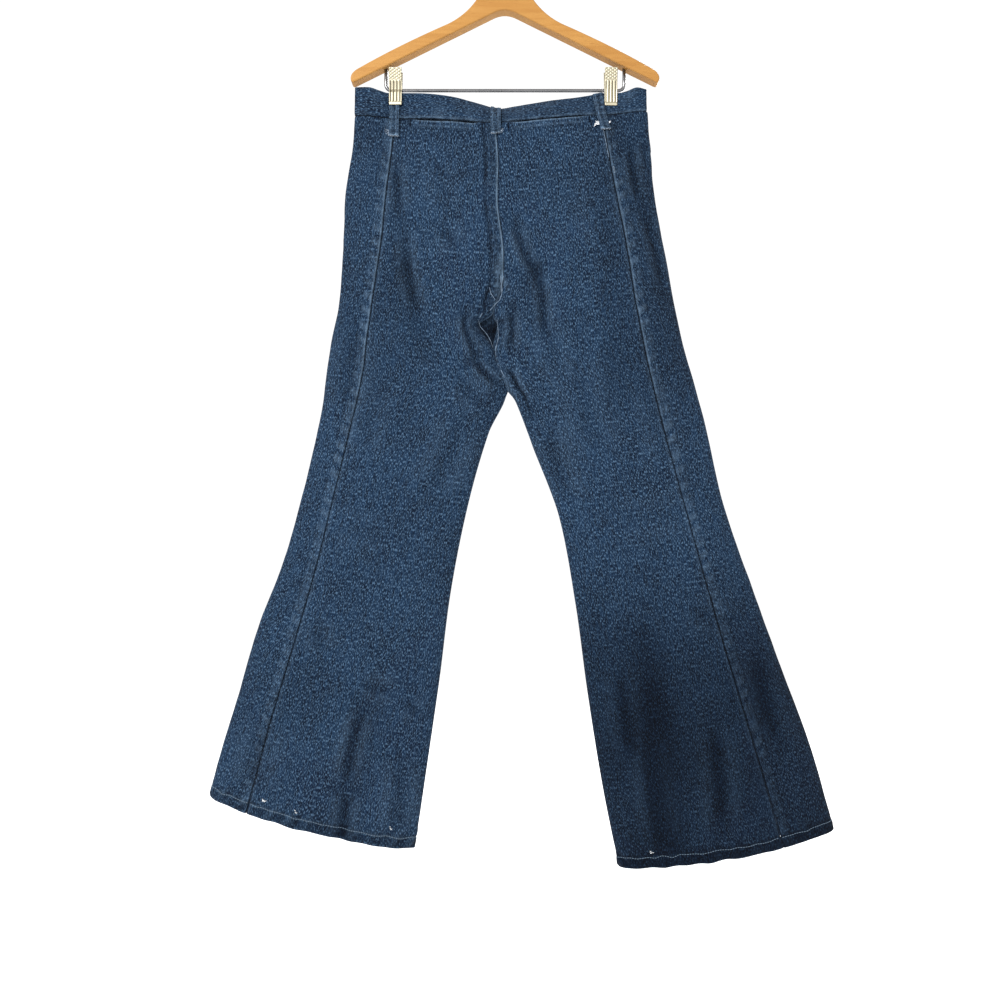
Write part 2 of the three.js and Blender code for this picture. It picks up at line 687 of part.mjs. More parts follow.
function bar() {
  const { z, halfSpan, corner, sinks, radius } = BAR;
  const topZ = WOOD.apexZ - WOOD.slope * halfSpan + sinks;
  const path = [
    new THREE.Vector3(-halfSpan, 0, topZ),
    ...arc(-halfSpan + corner, z + corner, corner, 180, 270, 4),
    ...arc(halfSpan - corner, z + corner, corner, 270, 360, 4),
    new THREE.Vector3(halfSpan, 0, topZ),
  ];
  return piece("hanger_bar", wire(path, radius, 10), CHROME);
}

// One jaw of a clip: a bent plate, from the lip on the cloth, past the sleeve, to the handle
function clipJaw(name, x, face, lipY) {
  const { plate, width, lipDrop, lipTall, handleRise, handleOut, sleeveRadius } = CLIP;
  const waist = sleeveRadius + SEAM_GAP;
  const inner = [
    [lipY, -lipDrop], [lipY, -lipDrop + lipTall], [Math.max(lipY, waist), -5], [waist, 0],
    [waist + 1, 6], [handleOut, handleRise],
  ];
  const outer = inner.map(([y, z]) => [y + plate, z]).reverse();
  const shape = new THREE.Shape([...inner, ...outer].map(([y, z]) => new THREE.Vector2(face * y, z)));
  const geometry = new THREE.ExtrudeGeometry(shape, { depth: width, bevelEnabled: false });
  geometry.translate(0, 0, -width / 2).rotateX(Math.PI / 2).rotateZ(Math.PI / 2);
  const mesh = piece(name, geometry, CHROME);
  mesh.position.set(x, 0, BAR.z);
  return mesh;
}

// The spring's sleeve, which runs on the bar between the jaws
function clipSleeve(name, x) {
  const bore = BAR.radius + SEAM_GAP;
  const half = CLIP.sleeveLength / 2;
  const profile = [
    [bore, -half], [CLIP.sleeveRadius, -half], [CLIP.sleeveRadius, half], [bore, half], [bore, -half],
  ].map(([r, h]) => new THREE.Vector2(r, h));
  const mesh = piece(name, new THREE.LatheGeometry(profile, 20), CHROME);
  mesh.rotation.z = Math.PI / 2;
  mesh.position.set(x, 0, BAR.z);
  return mesh;
}

function clip(side) {
  const x = CLIP_X[side];
  const nearLip = side === "left" ? CLIP.loopedLip : CLIP.farLip;
  return [
    clipJaw(`clip_${side}_back_jaw`, x, BACK, nearLip),
    clipJaw(`clip_${side}_front_jaw`, x, FRONT, CLIP.farLip),
    clipSleeve(`clip_${side}_sleeve`, x),
  ];
}

const jeans = new THREE.Group();
for (const side of Object.keys(SIDES)) {
  jeans.add(panel("back_panel", side, false), panel("front_panel", side, true), hem(side));
}
jeans.add(waistband(), flyFlap(), flyZip(), waistButton());
LOOPS.forEach((loop) => jeans.add(beltLoop(loop)));
POCKETS.forEach((pocket) => jeans.add(pocketFacing(pocket)));

const hanger = new THREE.Group();
hanger.add(wood(), hook(), bar(), ...clip("left"), ...clip("right"));

const jeansOnHanger = new THREE.Group();
jeansOnHanger.add(jeans, hanger);

export default jeansOnHanger;
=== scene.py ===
"""Flared denim jeans on a wooden clip hanger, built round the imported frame.

Shapes are worked out in millimetres, in the frame's own axes, and become metres where a mesh is made.
X runs across the garment, Y from the back of the jeans to their front, and Z up.
"""

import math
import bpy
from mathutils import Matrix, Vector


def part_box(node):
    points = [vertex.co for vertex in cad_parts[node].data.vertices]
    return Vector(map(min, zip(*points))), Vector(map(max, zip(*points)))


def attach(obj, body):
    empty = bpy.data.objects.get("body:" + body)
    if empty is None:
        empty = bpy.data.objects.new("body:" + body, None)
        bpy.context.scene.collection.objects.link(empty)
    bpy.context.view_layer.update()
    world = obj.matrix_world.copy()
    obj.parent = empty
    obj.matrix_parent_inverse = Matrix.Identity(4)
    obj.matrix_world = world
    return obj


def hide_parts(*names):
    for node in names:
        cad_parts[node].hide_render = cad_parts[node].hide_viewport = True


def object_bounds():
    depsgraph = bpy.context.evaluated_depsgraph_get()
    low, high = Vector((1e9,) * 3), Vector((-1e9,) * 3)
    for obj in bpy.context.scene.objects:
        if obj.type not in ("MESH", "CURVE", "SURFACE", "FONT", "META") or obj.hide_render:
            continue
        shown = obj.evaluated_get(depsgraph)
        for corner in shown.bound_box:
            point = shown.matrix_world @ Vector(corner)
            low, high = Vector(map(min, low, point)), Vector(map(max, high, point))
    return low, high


bl_info = {
    "name": "Flared jeans on a clip hanger",
    "version": (1, 0, 0),
    "blender": (4, 5, 0),
    "location": "3D View > Sidebar > Jeans",
    "description": "Builds flared denim jeans, their sewing and the clip hanger that holds them",
    "category": "Add Mesh",
}

from functools import lru_cache
from types import SimpleNamespace

import bpy
import numpy as np
from bpy.props import FloatProperty, FloatVectorProperty, PointerProperty
from mathutils import Vector

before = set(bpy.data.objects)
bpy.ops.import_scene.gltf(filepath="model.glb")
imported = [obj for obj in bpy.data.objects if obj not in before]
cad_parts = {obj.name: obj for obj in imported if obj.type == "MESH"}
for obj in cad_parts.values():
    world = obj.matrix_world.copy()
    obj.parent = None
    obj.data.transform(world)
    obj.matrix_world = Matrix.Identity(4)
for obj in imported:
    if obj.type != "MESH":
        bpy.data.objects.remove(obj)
CAD_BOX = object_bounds()
BODY = "root"
MM = 0.001
BACK = -1
FRONT = 1

# Cloth walls, gaps and small widths of the sewn pieces
WALL = 1.5
BAND_WALL = 2.4
HEM_WALL = 1.2
OVERLAY_WALL = 1.2
SEAM_GAP = 0.3
HEM_HEIGHT = 15.0
SEAM_ALLOWANCE = 13.0
LOOP_WIDTH = 14.0
LOOP_WALL = 2.0
LOOP_SLACK = 3.0
LOOP_EASE = 0.5
LAP_REACH = 0.17
LAP_STARTS = 1.8
BAND_HEIGHT = 37.0
BAND_STITCHES = (0.075, 0.93)
SEAT_STITCHES = SimpleNamespace(away=(2.6, 9.0), top=3, foot=262)

# Where each kind of piece lies on the endless weave, in metres
WEAVE_SHIFT = {"hem": 3.1, "band": (5.3, 2.7), "loop": 7.7, "allowance": 4.4, "flap": (9.1, 1.3)}
PANEL_SHIFT = 0.37

# The form of the legs
EDGE_POWER = 2.2
CROTCH_STARTS = 0.165
CROTCH_ENDS = 0.268
LEG_INSET = 1.2
LEGS_PART = 0.365
INNER_TURN = 0.003
SEAM_TURN = 0.0008
CLIP_X = {"left": -155.0, "right": 150.0}
PINCH_SHARE = 0.68
PINCH_REACH = 32.0
PINCH_FADE = 0.07
CENTRE_X = -14.0

# Broad darkening down the lower legs and on the outer flanks of the seat and thighs
LOWER_LEG = SimpleNamespace(starts=560, fades_over=300, shade={"left": 0.12, "right": 0.74})
FLANKS = SimpleNamespace(fades_below=-780, fades_over=180, reach=26)
FLANK_EDGE = {"left": -112, "right": 122}
FLANK_SHADE = {"left": 0.16, "right": 0.3}


class Table:
    """Named columns of numbers, read as smooth curves along the first one."""

    def __init__(self, columns, rows):
        self.columns = columns.split()
        self.rows = np.array(rows, float)

    def read(self, column, at):
        place = self.rows[:, 0]
        value = self.rows[:, self.columns.index(column)]
        slope = np.empty_like(value)
        slope[1:-1] = (value[2:] - value[:-2]) / (place[2:] - place[:-2])
        slope[0] = (value[1] - value[0]) / (place[1] - place[0])
        slope[-1] = (value[-1] - value[-2]) / (place[-1] - place[-2])
        at = np.clip(at, place[0], place[-1])
        k = np.clip(np.searchsorted(place, at) - 1, 0, len(place) - 2)
        span = place[k + 1] - place[k]
        s = (at - place[k]) / span
        rise = (2 * s**3 - 3 * s**2 + 1) * value[k] + (3 * s**2 - 2 * s**3) * value[k + 1]
        return rise + span * ((s**3 - 2 * s**2 + s) * slope[k] + (s**3 - s**2) * slope[k + 1])


def records(columns, rows):
    """Rows of a table as objects with named values."""
    return [SimpleNamespace(**dict(zip(columns.split(), row))) for row in rows]


# One side of the jeans, from the waist seam (down 0) to the hem (down 1): its outer edge, and the
# share of the width that the front panel takes on the back face.
LEFT_OUTER = Table("down x z seam_share", [
    (0.0, -213, -270, 0.287),
    (0.05, -216, -320, 0.271),
    (0.11, -225, -378, 0.268),
    (0.17, -228, -438, 0.244),
    (0.22, -231, -487, 0.226),
    (0.275, -236, -541, 0.225),
    (0.32, -245, -585, 0.222),
    (0.368, -251.5, -632, 0.206),
    (0.43, -259.5, -693, 0.198),
    (0.53, -282, -789, 0.196),
    (0.65, -315, -903, 0.206),
    (0.77, -355.5, -1015, 0.213),
    (0.89, -389.5, -1129, 0.198),
    (1.0, -417.5, -1234, 0.192),
])
RIGHT_OUTER = Table("down x z seam_share", [
    (0.0, 201, -264, 0.297),
    (0.05, 206, -317, 0.28),
    (0.11, 212, -380, 0.249),
    (0.17, 221, -442, 0.234),
    (0.22, 231, -494, 0.228),
    (0.275, 243.5, -551, 0.219),
    (0.32, 253.5, -597, 0.221),
    (0.368, 266, -646, 0.236),
    (0.43, 282, -710, 0.244),
    (0.53, 307.5, -812, 0.246),
    (0.65, 347.5, -932, 0.254),
    (0.77, 391, -1051, 0.26),
    (0.89, 434.5, -1170, 0.262),
    (1.0, 466.5, -1281, 0.253),
])

# The centre seam down to the crotch, then each leg's inner edge
CENTRE_ROWS = [
    (0.0, -14, -286),
    (0.05, -9.5, -338),
    (0.11, -10, -402),
    (0.17, -2.5, -465),
    (0.22, -4.5, -518),
    (0.25, -15, -547),
    (0.27, -19, -568),
]
LEFT_INNER = Table("down x z", CENTRE_ROWS + [
    (0.32, -13, -615),
    (0.368, 3.5, -661),
    (0.43, -22.5, -721),
    (0.53, -51.5, -822),
    (0.65, -76, -945),
    (0.77, -92, -1069),
    (0.89, -110, -1194),
    (1.0, -127, -1308),
])
RIGHT_INNER = Table("down x z", CENTRE_ROWS + [
    (0.32, -10.5, -624),
    (0.368, 12.5, -671),
    (0.43, 36.5, -733),
    (0.53, 74.5, -834),
    (0.65, 99, -961),
    (0.77, 116.5, -1090),
    (0.89, 137, -1218),
    (1.0, 160.5, -1335),
])
SIDES = {
    "left": SimpleNamespace(outer=LEFT_OUTER, inner=LEFT_INNER),
    "right": SimpleNamespace(outer=RIGHT_OUTER, inner=RIGHT_INNER),
}

# Half of the hollow's depth, the sag of a level's middle, and how far the front dips below the back
FULLNESS = Table("down half_depth bow front_dip", [
    (0.0, 18, 0, 14),
    (0.06, 22, 0, 13),
    (0.16, 27, 0, 9),
    (0.27, 28, 0, 4),
    (0.4, 25, 0, 0),
    (0.6, 23, 2, 0),
    (0.8, 25, 5, 0),
    (1.0, 28, 8, 0),
])

# The waistband's top edge along X: its height above the waist seam on both faces, its place in Y on
# both, and the share of the height at which that place is reached.
BAND = Table("x rise front_rise back_y front_y bend", [
    (-213, 41, 41, 0, 0, 1),
    (-192, 41, 41, -4.5, 4.5, 0.8),
    (-178, 38, 38, -3.5, 3.5, 0.5),
    (-166, 35.8, 35.8, -2, 2, 0.45),
    (-144, 37.4, 37.4, -2, 2, 0.45),
    (-122, 38, 38, -5, 7, 0.8),
    (-90, 37.5, 39, -6.5, 13, 1),
    (-57, 35, 39, -1.5, 16, 1),
    (-22, 29.5, 38, 4.5, 18, 1),
    (-6, 27, 38, 5.5, 18.5, 1),
    (21, 28.5, 38, 5, 18, 1),
    (60, 30.5, 38, 4, 17, 1),
    (91, 31, 38, 2.5, 14, 1),
    (118, 31, 36, -1.5, 8, 0.8),
    (138, 32.2, 32.2, -2, 2, 0.45),
    (161, 30.2, 30.2, -2, 2, 0.45),
    (173, 31, 31, -3.5, 3.5, 0.5),
    (186, 34.5, 34.5, -4.5, 4.5, 0.8),
    (201, 32, 32, 0, 0, 1),
])

# The largest folds, which the frame has too: troughs where the depth is above 0, ridges below it
FOLDS = records("face from_x from_z to_x to_z width depth", [
    (BACK, -156, -366, -143, -488, 14, 4),
    (BACK, -143, -488, -107, -612, 15, 5),
    (BACK, 13, -423, 44, -492, 12, 5),
    (BACK, 44, -492, 52, -578, 13, 6),
    (BACK, -54, -551, -38, -614, 12, 4),
    (BACK, 10, -548, 8, -606, 9, 5),
    (BACK, 178, -318, 218, -528, 12, 4),
    (BACK, -46, -618, -8, -652, 9, 4),
    (BACK, -176, -690, -246, -980, 26, -4),
    (BACK, -194, -1104, -231, -1290, 20, 5),
    (BACK, 196, -1010, 236, -1310, 26, 5),
    (BACK, 312, -1060, 346, -1290, 20, -4),
    (FRONT, -150, -370, -112, -600, 16, 5),
    (FRONT, 118, -400, 92, -600, 16, 5),
    (FRONT, -40, -545, -92, -585, 12, 5),
    (FRONT, 16, -560, 78, -592, 12, 5),
    (FRONT, -190, -760, -258, -1190, 26, 5),
    (FRONT, 226, -820, 300, -1240, 26, 5),
])

# Finer creases. Bend is how far the middle strays to one side, and lip the height of the ridge that
# a crease pushes up beside it.
CREASES = records("face from_x from_z to_x to_z bend width depth lip", [
    (BACK, -160, -330, -150, -420, -4, 6, 1.6, 0.6),
    (BACK, -140, -430, -120, -560, 5, 6, 1.5, 0.7),
    (BACK, -88, -433, -63, -464, 2, 8, 1.7, 0.4),
    (BACK, -98, -330, -84, -420, -3, 9, 0.9, 0.2),
    (BACK, -58, -545, -36, -622, 4, 5, 2.2, 0.9),
    (BACK, -44, -616, -4, -655, 5, 4, 2.4, 1.0),
    (BACK, -70, -640, -20, -690, 4, 8, 1.3, 0.4),
    (BACK, -18, -477, -15, -535, -6, 2.6, -0.8, 0),
    (BACK, 3, -454, 11, -528, 14, 3, -1.0, 0),
    (BACK, 15, -425, 46, -500, 6, 5, 1.8, 0.8),
    (BACK, 44, -490, 54, -590, -4, 5, 2.0, 0.8),
    (BACK, 9, -545, 12, -610, 3, 5, 2.2, 0.9),
    (BACK, 8, -624, 34, -680, 5, 4, 2.4, 1.0),
    (BACK, 60, -560, 84, -660, 6, 9, 1.2, 0.3),
    (BACK, 176, -312, 190, -400, 3, 5, 1.7, 0.8),
    (BACK, 190, -400, 224, -530, -5, 6, 1.6, 0.6),
    (BACK, 196, -300, 204, -360, 2, 5, 1.2, 0.5),
    (BACK, 128, -350, 150, -470, 6, 12, 0.9, 0.2),
    (BACK, -205, -560, -218, -700, 6, 13, 1.1, 0.3),
    (BACK, -60, -690, -112, -810, -7, 12, 1.3, 0.4),
    (BACK, -170, -640, -196, -770, 8, 10, 0.9, 0.3),
    (BACK, 96, -600, 142, -770, 8, 13, 1.2, 0.3),
    (BACK, 56, -700, 98, -830, 6, 10, 1.4, 0.5),
    (BACK, 190, -640, 226, -780, -6, 10, 0.9, 0.3),
    (BACK, -246, -842, -150, -866, 5, 10, 0.8, 0.2),
    (BACK, 150, -852, 262, -836, -6, 11, 0.8, 0.2),
    (BACK, -262, -980, -250, -1030, 3, 8, 1.4, 0.4),
    (BACK, -204, -1070, -150, -1081, 3, 7, 1.6, 0.5),
    (BACK, -138, -1096, -117, -1118, 2, 7, 1.5, 0.4),
    (BACK, -196, -1100, -222, -1220, 6, 7, 2.0, 0.9),
    (BACK, -222, -1220, -232, -1296, -2, 7, 1.8, 0.8),
    (BACK, -330, -1120, -352, -1226, 5, 12, 1.5, 0.4),
    (BACK, -146, -1170, -158, -1292, -4, 10, 1.5, 0.5),
    (BACK, 204, -1130, 224, -1310, 6, 10, 1.8, 0.7),
    (BACK, 288, -1120, 300, -1290, -5, 10, 1.6, 0.6),
    (BACK, 350, -1010, 392, -1180, 8, 12, 1.2, 0.4),
    (BACK, 250, -960, 330, -985, 6, 9, 0.9, 0.3),
    (BACK, 160, -1040, 182, -1190, 4, 9, 1.3, 0.4),
    (FRONT, -44, -512, -118, -488, 5, 9, 1.0, 0.3),
    (FRONT, -52, -544, -96, -552, 3, 7, 1.1, 0.4),
    (FRONT, 24, -526, 126, -506, -6, 10, 1.0, 0.3),
    (FRONT, -46, -566, -88, -598, 4, 5, 1.4, 0.6),
    (FRONT, 24, -574, 62, -596, -4, 5, 1.5, 0.6),
    (FRONT, -154, -350, -143, -420, 4, 7, 1.0, 0.4),
    (FRONT, -128, -500, -114, -590, -4, 7, 1.0, 0.4),
    (FRONT, 112, -440, 100, -540, 4, 7, 0.9, 0.4),
    (FRONT, -200, -400, -206, -520, 4, 8, 1.0, 0.3),
    (FRONT, 186, -390, 200, -520, -4, 8, 1.0, 0.3),
    (FRONT, -70, -660, -108, -790, 6, 12, 1.3, 0.4),
    (FRONT, 62, -690, 108, -820, 6, 11, 1.3, 0.4),
    (FRONT, -240, -800, -150, -826, 5, 9, 1.1, 0.4),
    (FRONT, -232, -850, -160, -866, -4, 8, 0.9, 0.3),
    (FRONT, 140, -826, 250, -812, -6, 9, 1.1, 0.4),
    (FRONT, 160, -868, 262, -858, 4, 8, 0.9, 0.3),
    (FRONT, -196, -900, -216, -1060, 6, 11, 1.3, 0.4),
    (FRONT, -232, -1060, -254, -1240, -5, 8, 1.8, 0.8),
    (FRONT, -330, -1100, -356, -1226, 5, 12, 1.4, 0.4),
    (FRONT, -150, -1150, -162, -1296, -4, 10, 1.5, 0.5),
    (FRONT, 214, -900, 252, -1060, -6, 11, 1.3, 0.4),
    (FRONT, 262, -1080, 296, -1290, 6, 8, 1.8, 0.8),
    (FRONT, 372, -1080, 408, -1240, 6, 12, 1.3, 0.4),
    (FRONT, 172, -1080, 200, -1320, -4, 10, 1.5, 0.5),
])

CREASE_GAIN = 1.6
# Painted shade in the troughs of creases and of the larger folds
CREASE_SHADE = 0.19
FOLD_SHADE = {BACK: 0.06, FRONT: 0.03}

# Belt loops: the X of the top and of the foot, how far the foot reaches below the waist seam, and
# the share of the slack that stands off the band.
LOOPS = records("name face top_x foot_x foot slack", [
    ("belt_loop_back_left", BACK, -156.5, -157, 26, 0.1),
    ("belt_loop_back_centre", BACK, -13, -14, 15, 1),
    ("belt_loop_back_right", BACK, 131, 140, 21, 0.8),
    ("belt_loop_front_left", FRONT, -112, -112, 20, 1),
    ("belt_loop_front_right", FRONT, 98, 98, 20, 1),
])

# Back pocket openings along the waist seam, from one bar tack to the other
POCKETS = records("side from_x to_x gap", [
    ("left", -134, -33, 2.0),
    ("right", 4, 118, 1.5),
])

# Hanger
WOOD = SimpleNamespace(
    half_span=218, tip_round=7, depth=22, apex_z=-120, slope=0.495, apex_round=16, arm_height=17,
    arm_swell=4, shoulder_x=80, neck_half_width=13, top_z=-71, bevel=2.4,
)
HOOK = SimpleNamespace(
    wire=2.1, inner_radius=19, stem_bends=-60, stem_sinks=14, tip_angle=205, join_angle=-35,
)
FERRULE_PROFILE = [(2.2, 0), (5.4, 0), (5.6, 0.5), (5.2, 1.1), (3.2, 1.5), (2.2, 1.6)]
BAR = SimpleNamespace(radius=2.4, z=-233.8, half_span=169, corner=8, sinks=12)
CLIP = SimpleNamespace(
    width=18, plate=1.2, lip_drop=22.5, lip_tall=15, handle_rise=29.5, handle_out=9.5,
    sleeve_radius=3.4, sleeve_length=15, far_lip=3.6, looped_lip=6.4,
    plain_lip=4.2, ribs_end=11, knurl_from=12.5, knurl_to=28.2,
)


def mix(start, end, share):
    return start + (end - start) * share


def smooth(value):
    share = np.clip(value, 0.0, 1.0)
    return share * share * (3 - 2 * share)


def bell(distance, width):
    return np.exp(-((distance / width) ** 2))


def wander(seed, shortest, longest, *axes):
    """Smooth uneven values around 0, mostly within 1 of it, from waves of many lengths in mm."""
    draw = np.random.default_rng(seed)
    waves = 9
    total = np.zeros(np.broadcast(*axes).shape)
    for _ in range(waves):
        length = draw.uniform(shortest, longest)
        heading = draw.normal(size=len(axes))
        heading /= np.linalg.norm(heading)
        run = sum(part * axis for part, axis in zip(heading, axes))
        total += np.sin(2 * np.pi * (run / length + draw.uniform()))
    return total / math.sqrt(waves)


def unit(vectors):
    return vectors / np.maximum(np.linalg.norm(vectors, axis=-1, keepdims=True), 1e-9)


def path_run(points):
    """Distance along a line of points to each of them."""
    steps = np.linalg.norm(np.diff(points, axis=0), axis=-1)
    return np.concatenate([[0], np.cumsum(steps)])


def along_path(at, run, values):
    """What a line's points hold, read at distances along it."""
    return np.stack([np.interp(at, run, column) for column in values.T], axis=-1)


def leg_share(down):
    """0 where the two legs are one hollow, 1 where each is a tube of its own."""
    s = np.clip((down - CROTCH_STARTS) / (CROTCH_ENDS - CROTCH_STARTS), 0, 1)
    return 1 - np.sqrt(1 - s * s)


def fold_share(fold, face, x, z):
    """1 along a fold's line, falling to 0 away from it."""
    run_x, run_z = fold.to_x - fold.from_x, fold.to_z - fold.from_z
    along = ((x - fold.from_x) * run_x + (z - fold.from_z) * run_z) / (run_x**2 + run_z**2)
    near = np.clip(along, 0, 1)
    away = np.hypot(x - fold.from_x - run_x * near, z - fold.from_z - run_z * near)
    return np.where(face == fold.face, bell(away, fold.width), 0)


def fold_depth(face, x, z):
    return sum(fold.depth * fold_share(fold, face, x, z) for fold in FOLDS)


def cloth(side, turn, down):
    """Middle of the cloth. turn is 0 at the inner edge of the back, 1 at the outer edge, 2 at the
    inner edge of the front."""
    outer, inner = SIDES[side].outer, SIDES[side].inner
    turn, down = np.broadcast_arrays(turn, down)
    face = np.where(turn < 1, BACK, FRONT)
    share = (1 + np.cos(np.pi * np.abs(turn - 1))) / 2
    legs = leg_share(down)
    outer_x = outer.read("x", down)
    inset = SEAM_GAP / 2 + LEG_INSET * smooth((down - LEGS_PART + 0.02) / 0.03)
    inner_x = inner.read("x", down) + inset * np.sign(outer_x)
    x = mix(inner_x, outer_x, share)
    edges = mix(inner.read("z", down), outer.read("z", down), share)
    dip = np.where(face == FRONT, FULLNESS.read("front_dip", down) * (1 - share**2), 0)
    z = edges - FULLNESS.read("bow", down) * 4 * share * (1 - share) - dip
    torso = np.sqrt(np.maximum(0, 1 - share**2))
    leg = np.maximum(0, 1 - np.abs(2 * share - 1) ** EDGE_POWER) ** (1 / EDGE_POWER)
    swell = mix(torso, leg, legs)
    pinch = 1 - PINCH_SHARE * bell(x - CLIP_X[side], PINCH_REACH) * np.exp(-down / PINCH_FADE)
    depth = FULLNESS.read("half_depth", down) * swell * pinch
    y = face * np.maximum(0, depth - fold_depth(face, x, z) * np.minimum(1, swell**2))
    return np.stack([x, y, z], axis=-1)


def seam_turn(side, down):
    return 1 - np.arccos(1 - 2 * SIDES[side].outer.read("seam_share", down)) / np.pi


def turn_at_x(side, face, x):
    """turn of the point of a face at X on the waist seam."""
    inner_x = SIDES[side].inner.read("x", 0.0)
    outer_x = SIDES[side].outer.read("x", 0.0)
    share = np.clip((x - inner_x) / (outer_x - inner_x), 0, 1)
    opening = np.arccos(2 * share - 1) / np.pi
    return 1 - opening if face == BACK else 1 + opening


def band(side, turn, up):
    """Middle of the waistband. up is 0 at the waist seam and 1 at the top edge."""
    turn, up = np.broadcast_arrays(turn, up)
    foot = cloth(side, turn, 0.0)
    on_back = turn < 1
    x = foot[..., 0]
    rise = np.where(on_back, BAND.read("rise", x), BAND.read("front_rise", x))
    top_y = np.where(on_back, BAND.read("back_y", x), BAND.read("front_y", x))
    share = np.minimum(1, up / BAND.read("bend", x)) ** 1.6
    lift = SEAM_GAP / 2 + up * (rise - SEAM_GAP / 2)
    return np.stack([x, mix(foot[..., 1], top_y, share), foot[..., 2] + lift], axis=-1)


def side_length(side):
    top, hem = cloth(side, 1.0, 0.0), cloth(side, 1.0, 1.0)
    return float(np.linalg.norm(hem - top))


def outward_of(points, centre):
    """Unit normals of a grid of points, pointing away from centre."""
    normal = unit(np.cross(np.gradient(points, axis=1), np.gradient(points, axis=0)))
    return normal if np.sum((points - centre) * normal) > 0 else -normal


def edge_steps(total, fine, count):
    """Places along each length in total: fine ones from both ends, and even ones between."""
    fine = np.array(fine)
    total = np.asarray(total, float)[..., None]
    between = np.linspace(0, 1, count + 2)[1:-1]
    start = np.broadcast_to(fine, total.shape[:-1] + fine.shape)
    middle = mix(fine[-1], total - fine[-1], between)
    return np.concatenate([start, middle, total - fine[::-1]], axis=-1)


class Relief:
    """How far each point of a panel stands out, slides along it, and is worn or shaded."""

    def __init__(self, shape):
        self.height = np.zeros(shape)
        self.slide = np.zeros(shape + (3,))
        self.wear = np.zeros(shape)
        self.shade = np.zeros(shape)

    def add(self, height=0.0, wear=0.0, shade=0.0):
        self.height += height
        self.wear += wear
        self.shade += shade


def crease_relief(relief, face, x, z):
    for crease in CREASES:
        run_x, run_z = crease.to_x - crease.from_x, crease.to_z - crease.from_z
        length = math.hypot(run_x, run_z)
        along = ((x - crease.from_x) * run_x + (z - crease.from_z) * run_z) / length**2
        aside = ((x - crease.from_x) * run_z - (z - crease.from_z) * run_x) / length
        aside = aside - crease.bend * 4 * along * (1 - along)
        taper = smooth(along / 0.3) * smooth((1 - along) / 0.3) * (face == crease.face)
        lips = bell(np.abs(aside) - 1.9 * crease.width, crease.width)
        trough = bell(aside, crease.width)
        # The trough takes painted shade; the ridges beside it are marked as wear
        relief.add(
            height=CREASE_GAIN * taper * (crease.lip * lips - crease.depth * trough),
            wear=taper * (0.12 * crease.lip * lips - 0.35 * min(0, crease.depth) * trough),
            shade=taper * CREASE_SHADE * max(0, crease.depth) * trough,
        )
    for fold in FOLDS:
        if fold.depth > 0:
            # Painted shade down the trough of each larger fold
            hollow = fold_share(fold, face, x, z)
            relief.add(shade=FOLD_SHADE[fold.face] * fold.depth * hollow)


# How far down a panel the rubbed edges of its seams show, and over what length they fade
OUTSEAM_WEAR = SimpleNamespace(ends=330, fades_over=160)
INSEAM_WEAR = SimpleNamespace(ends=400, fades_over=160)

# The centre seam: the strip pressed over on its left, and the short pressed line on its right
SEAT_STRIP = SimpleNamespace(width=15, fold=18)
SEAT_LINE = SimpleNamespace(away=19, starts=332, fades_in=30, ends=400, fades_out=24)


def side_seam_relief(relief, form, sewing):
    """The groove of the side seam, and on the front panel the puckered allowance under the cloth."""
    away, along = form.to_seam, form.along
    # Painted shade down the seam's groove
    relief.add(height=-0.9 * bell(away, 1.3), shade=0.8 * bell(away, 1.1))
    if not form.on_front:
        relief.add(wear=0.1 * bell(away - 3, 2))
        return
    ridge = smooth(away / 2) * (1 - smooth((away - SEAM_ALLOWANCE + 2) / 3.5))
    pucker = wander(form.seed + 1, 9, 24, along + 0.5 * away)
    upper = 1 - smooth((along - OUTSEAM_WEAR.ends) / OUTSEAM_WEAR.fades_over)
    # The shade term is a painted shadow along the far edge of the allowance's ridge
    relief.add(
        height=ridge * (sewing.seam_ridge / MM + sewing.seam_pucker / MM * pucker),
        wear=ridge * (0.07 + 0.1 * pucker) + (0.08 + 0.4 * upper) * bell(away - 1.8, 1.1),
        shade=0.2 * bell(away - SEAM_ALLOWANCE - 1.5, 1.8) * (0.6 + 0.5 * pucker),
    )


def inner_seam_relief(relief, form):
    """The centre-back seam with its pressed-over strip, then the inseam."""
    away, along = form.to_inner, form.along
    torso = 1 - smooth((form.down - CROTCH_ENDS + 0.02) / 0.02)
    relief.add(height=-0.5 * bell(away, 1.2))
    if form.on_front:
        # Painted shade in the seam's groove
        relief.add(shade=0.5 * bell(away, 1.1), wear=0.35 * bell(away - 2, 1.3) * (1 - torso))
        return
    rubbed = 1 - smooth((along - INSEAM_WEAR.ends) / INSEAM_WEAR.fades_over)
    relief.add(wear=(1 - torso) * 0.9 * bell(away - 1.2, 1.3) * rubbed)
    if form.side == "right":
        line = smooth((along - SEAT_LINE.starts) / SEAT_LINE.fades_in)
        line = line * (1 - smooth((along - SEAT_LINE.ends) / SEAT_LINE.fades_out))
        aside = away - SEAT_LINE.away
        # Painted shadow in a line beside the seam where the left panel overlaps, and painted shade in the
        # pressed line's trough
        relief.add(
            height=-1.2 * line * bell(aside, 3),
            shade=0.6 * torso * bell(away - 0.8, 1.5) + 0.8 * line * bell(aside, 2.4),
        )
        return
    strip = smooth(away / 2) * (1 - smooth((away - SEAT_STRIP.width) / 3)) * torso
    rungs = wander(form.seed + 2, 6, 15, along)
    fold = bell(away - SEAT_STRIP.fold, 2.6) * torso * (0.75 + 0.25 * wander(form.seed + 3, 40, 90, along))
    # Painted shade over the pressed strip and down the fold beside it
    relief.add(
        height=strip * (0.4 + 0.4 * rungs) - 2.4 * fold,
        wear=0.95 * torso * bell(away - 1.2, 1.3) + 0.12 * strip * np.maximum(0, rungs),
        shade=0.3 * strip + 0.85 * fold,
    )


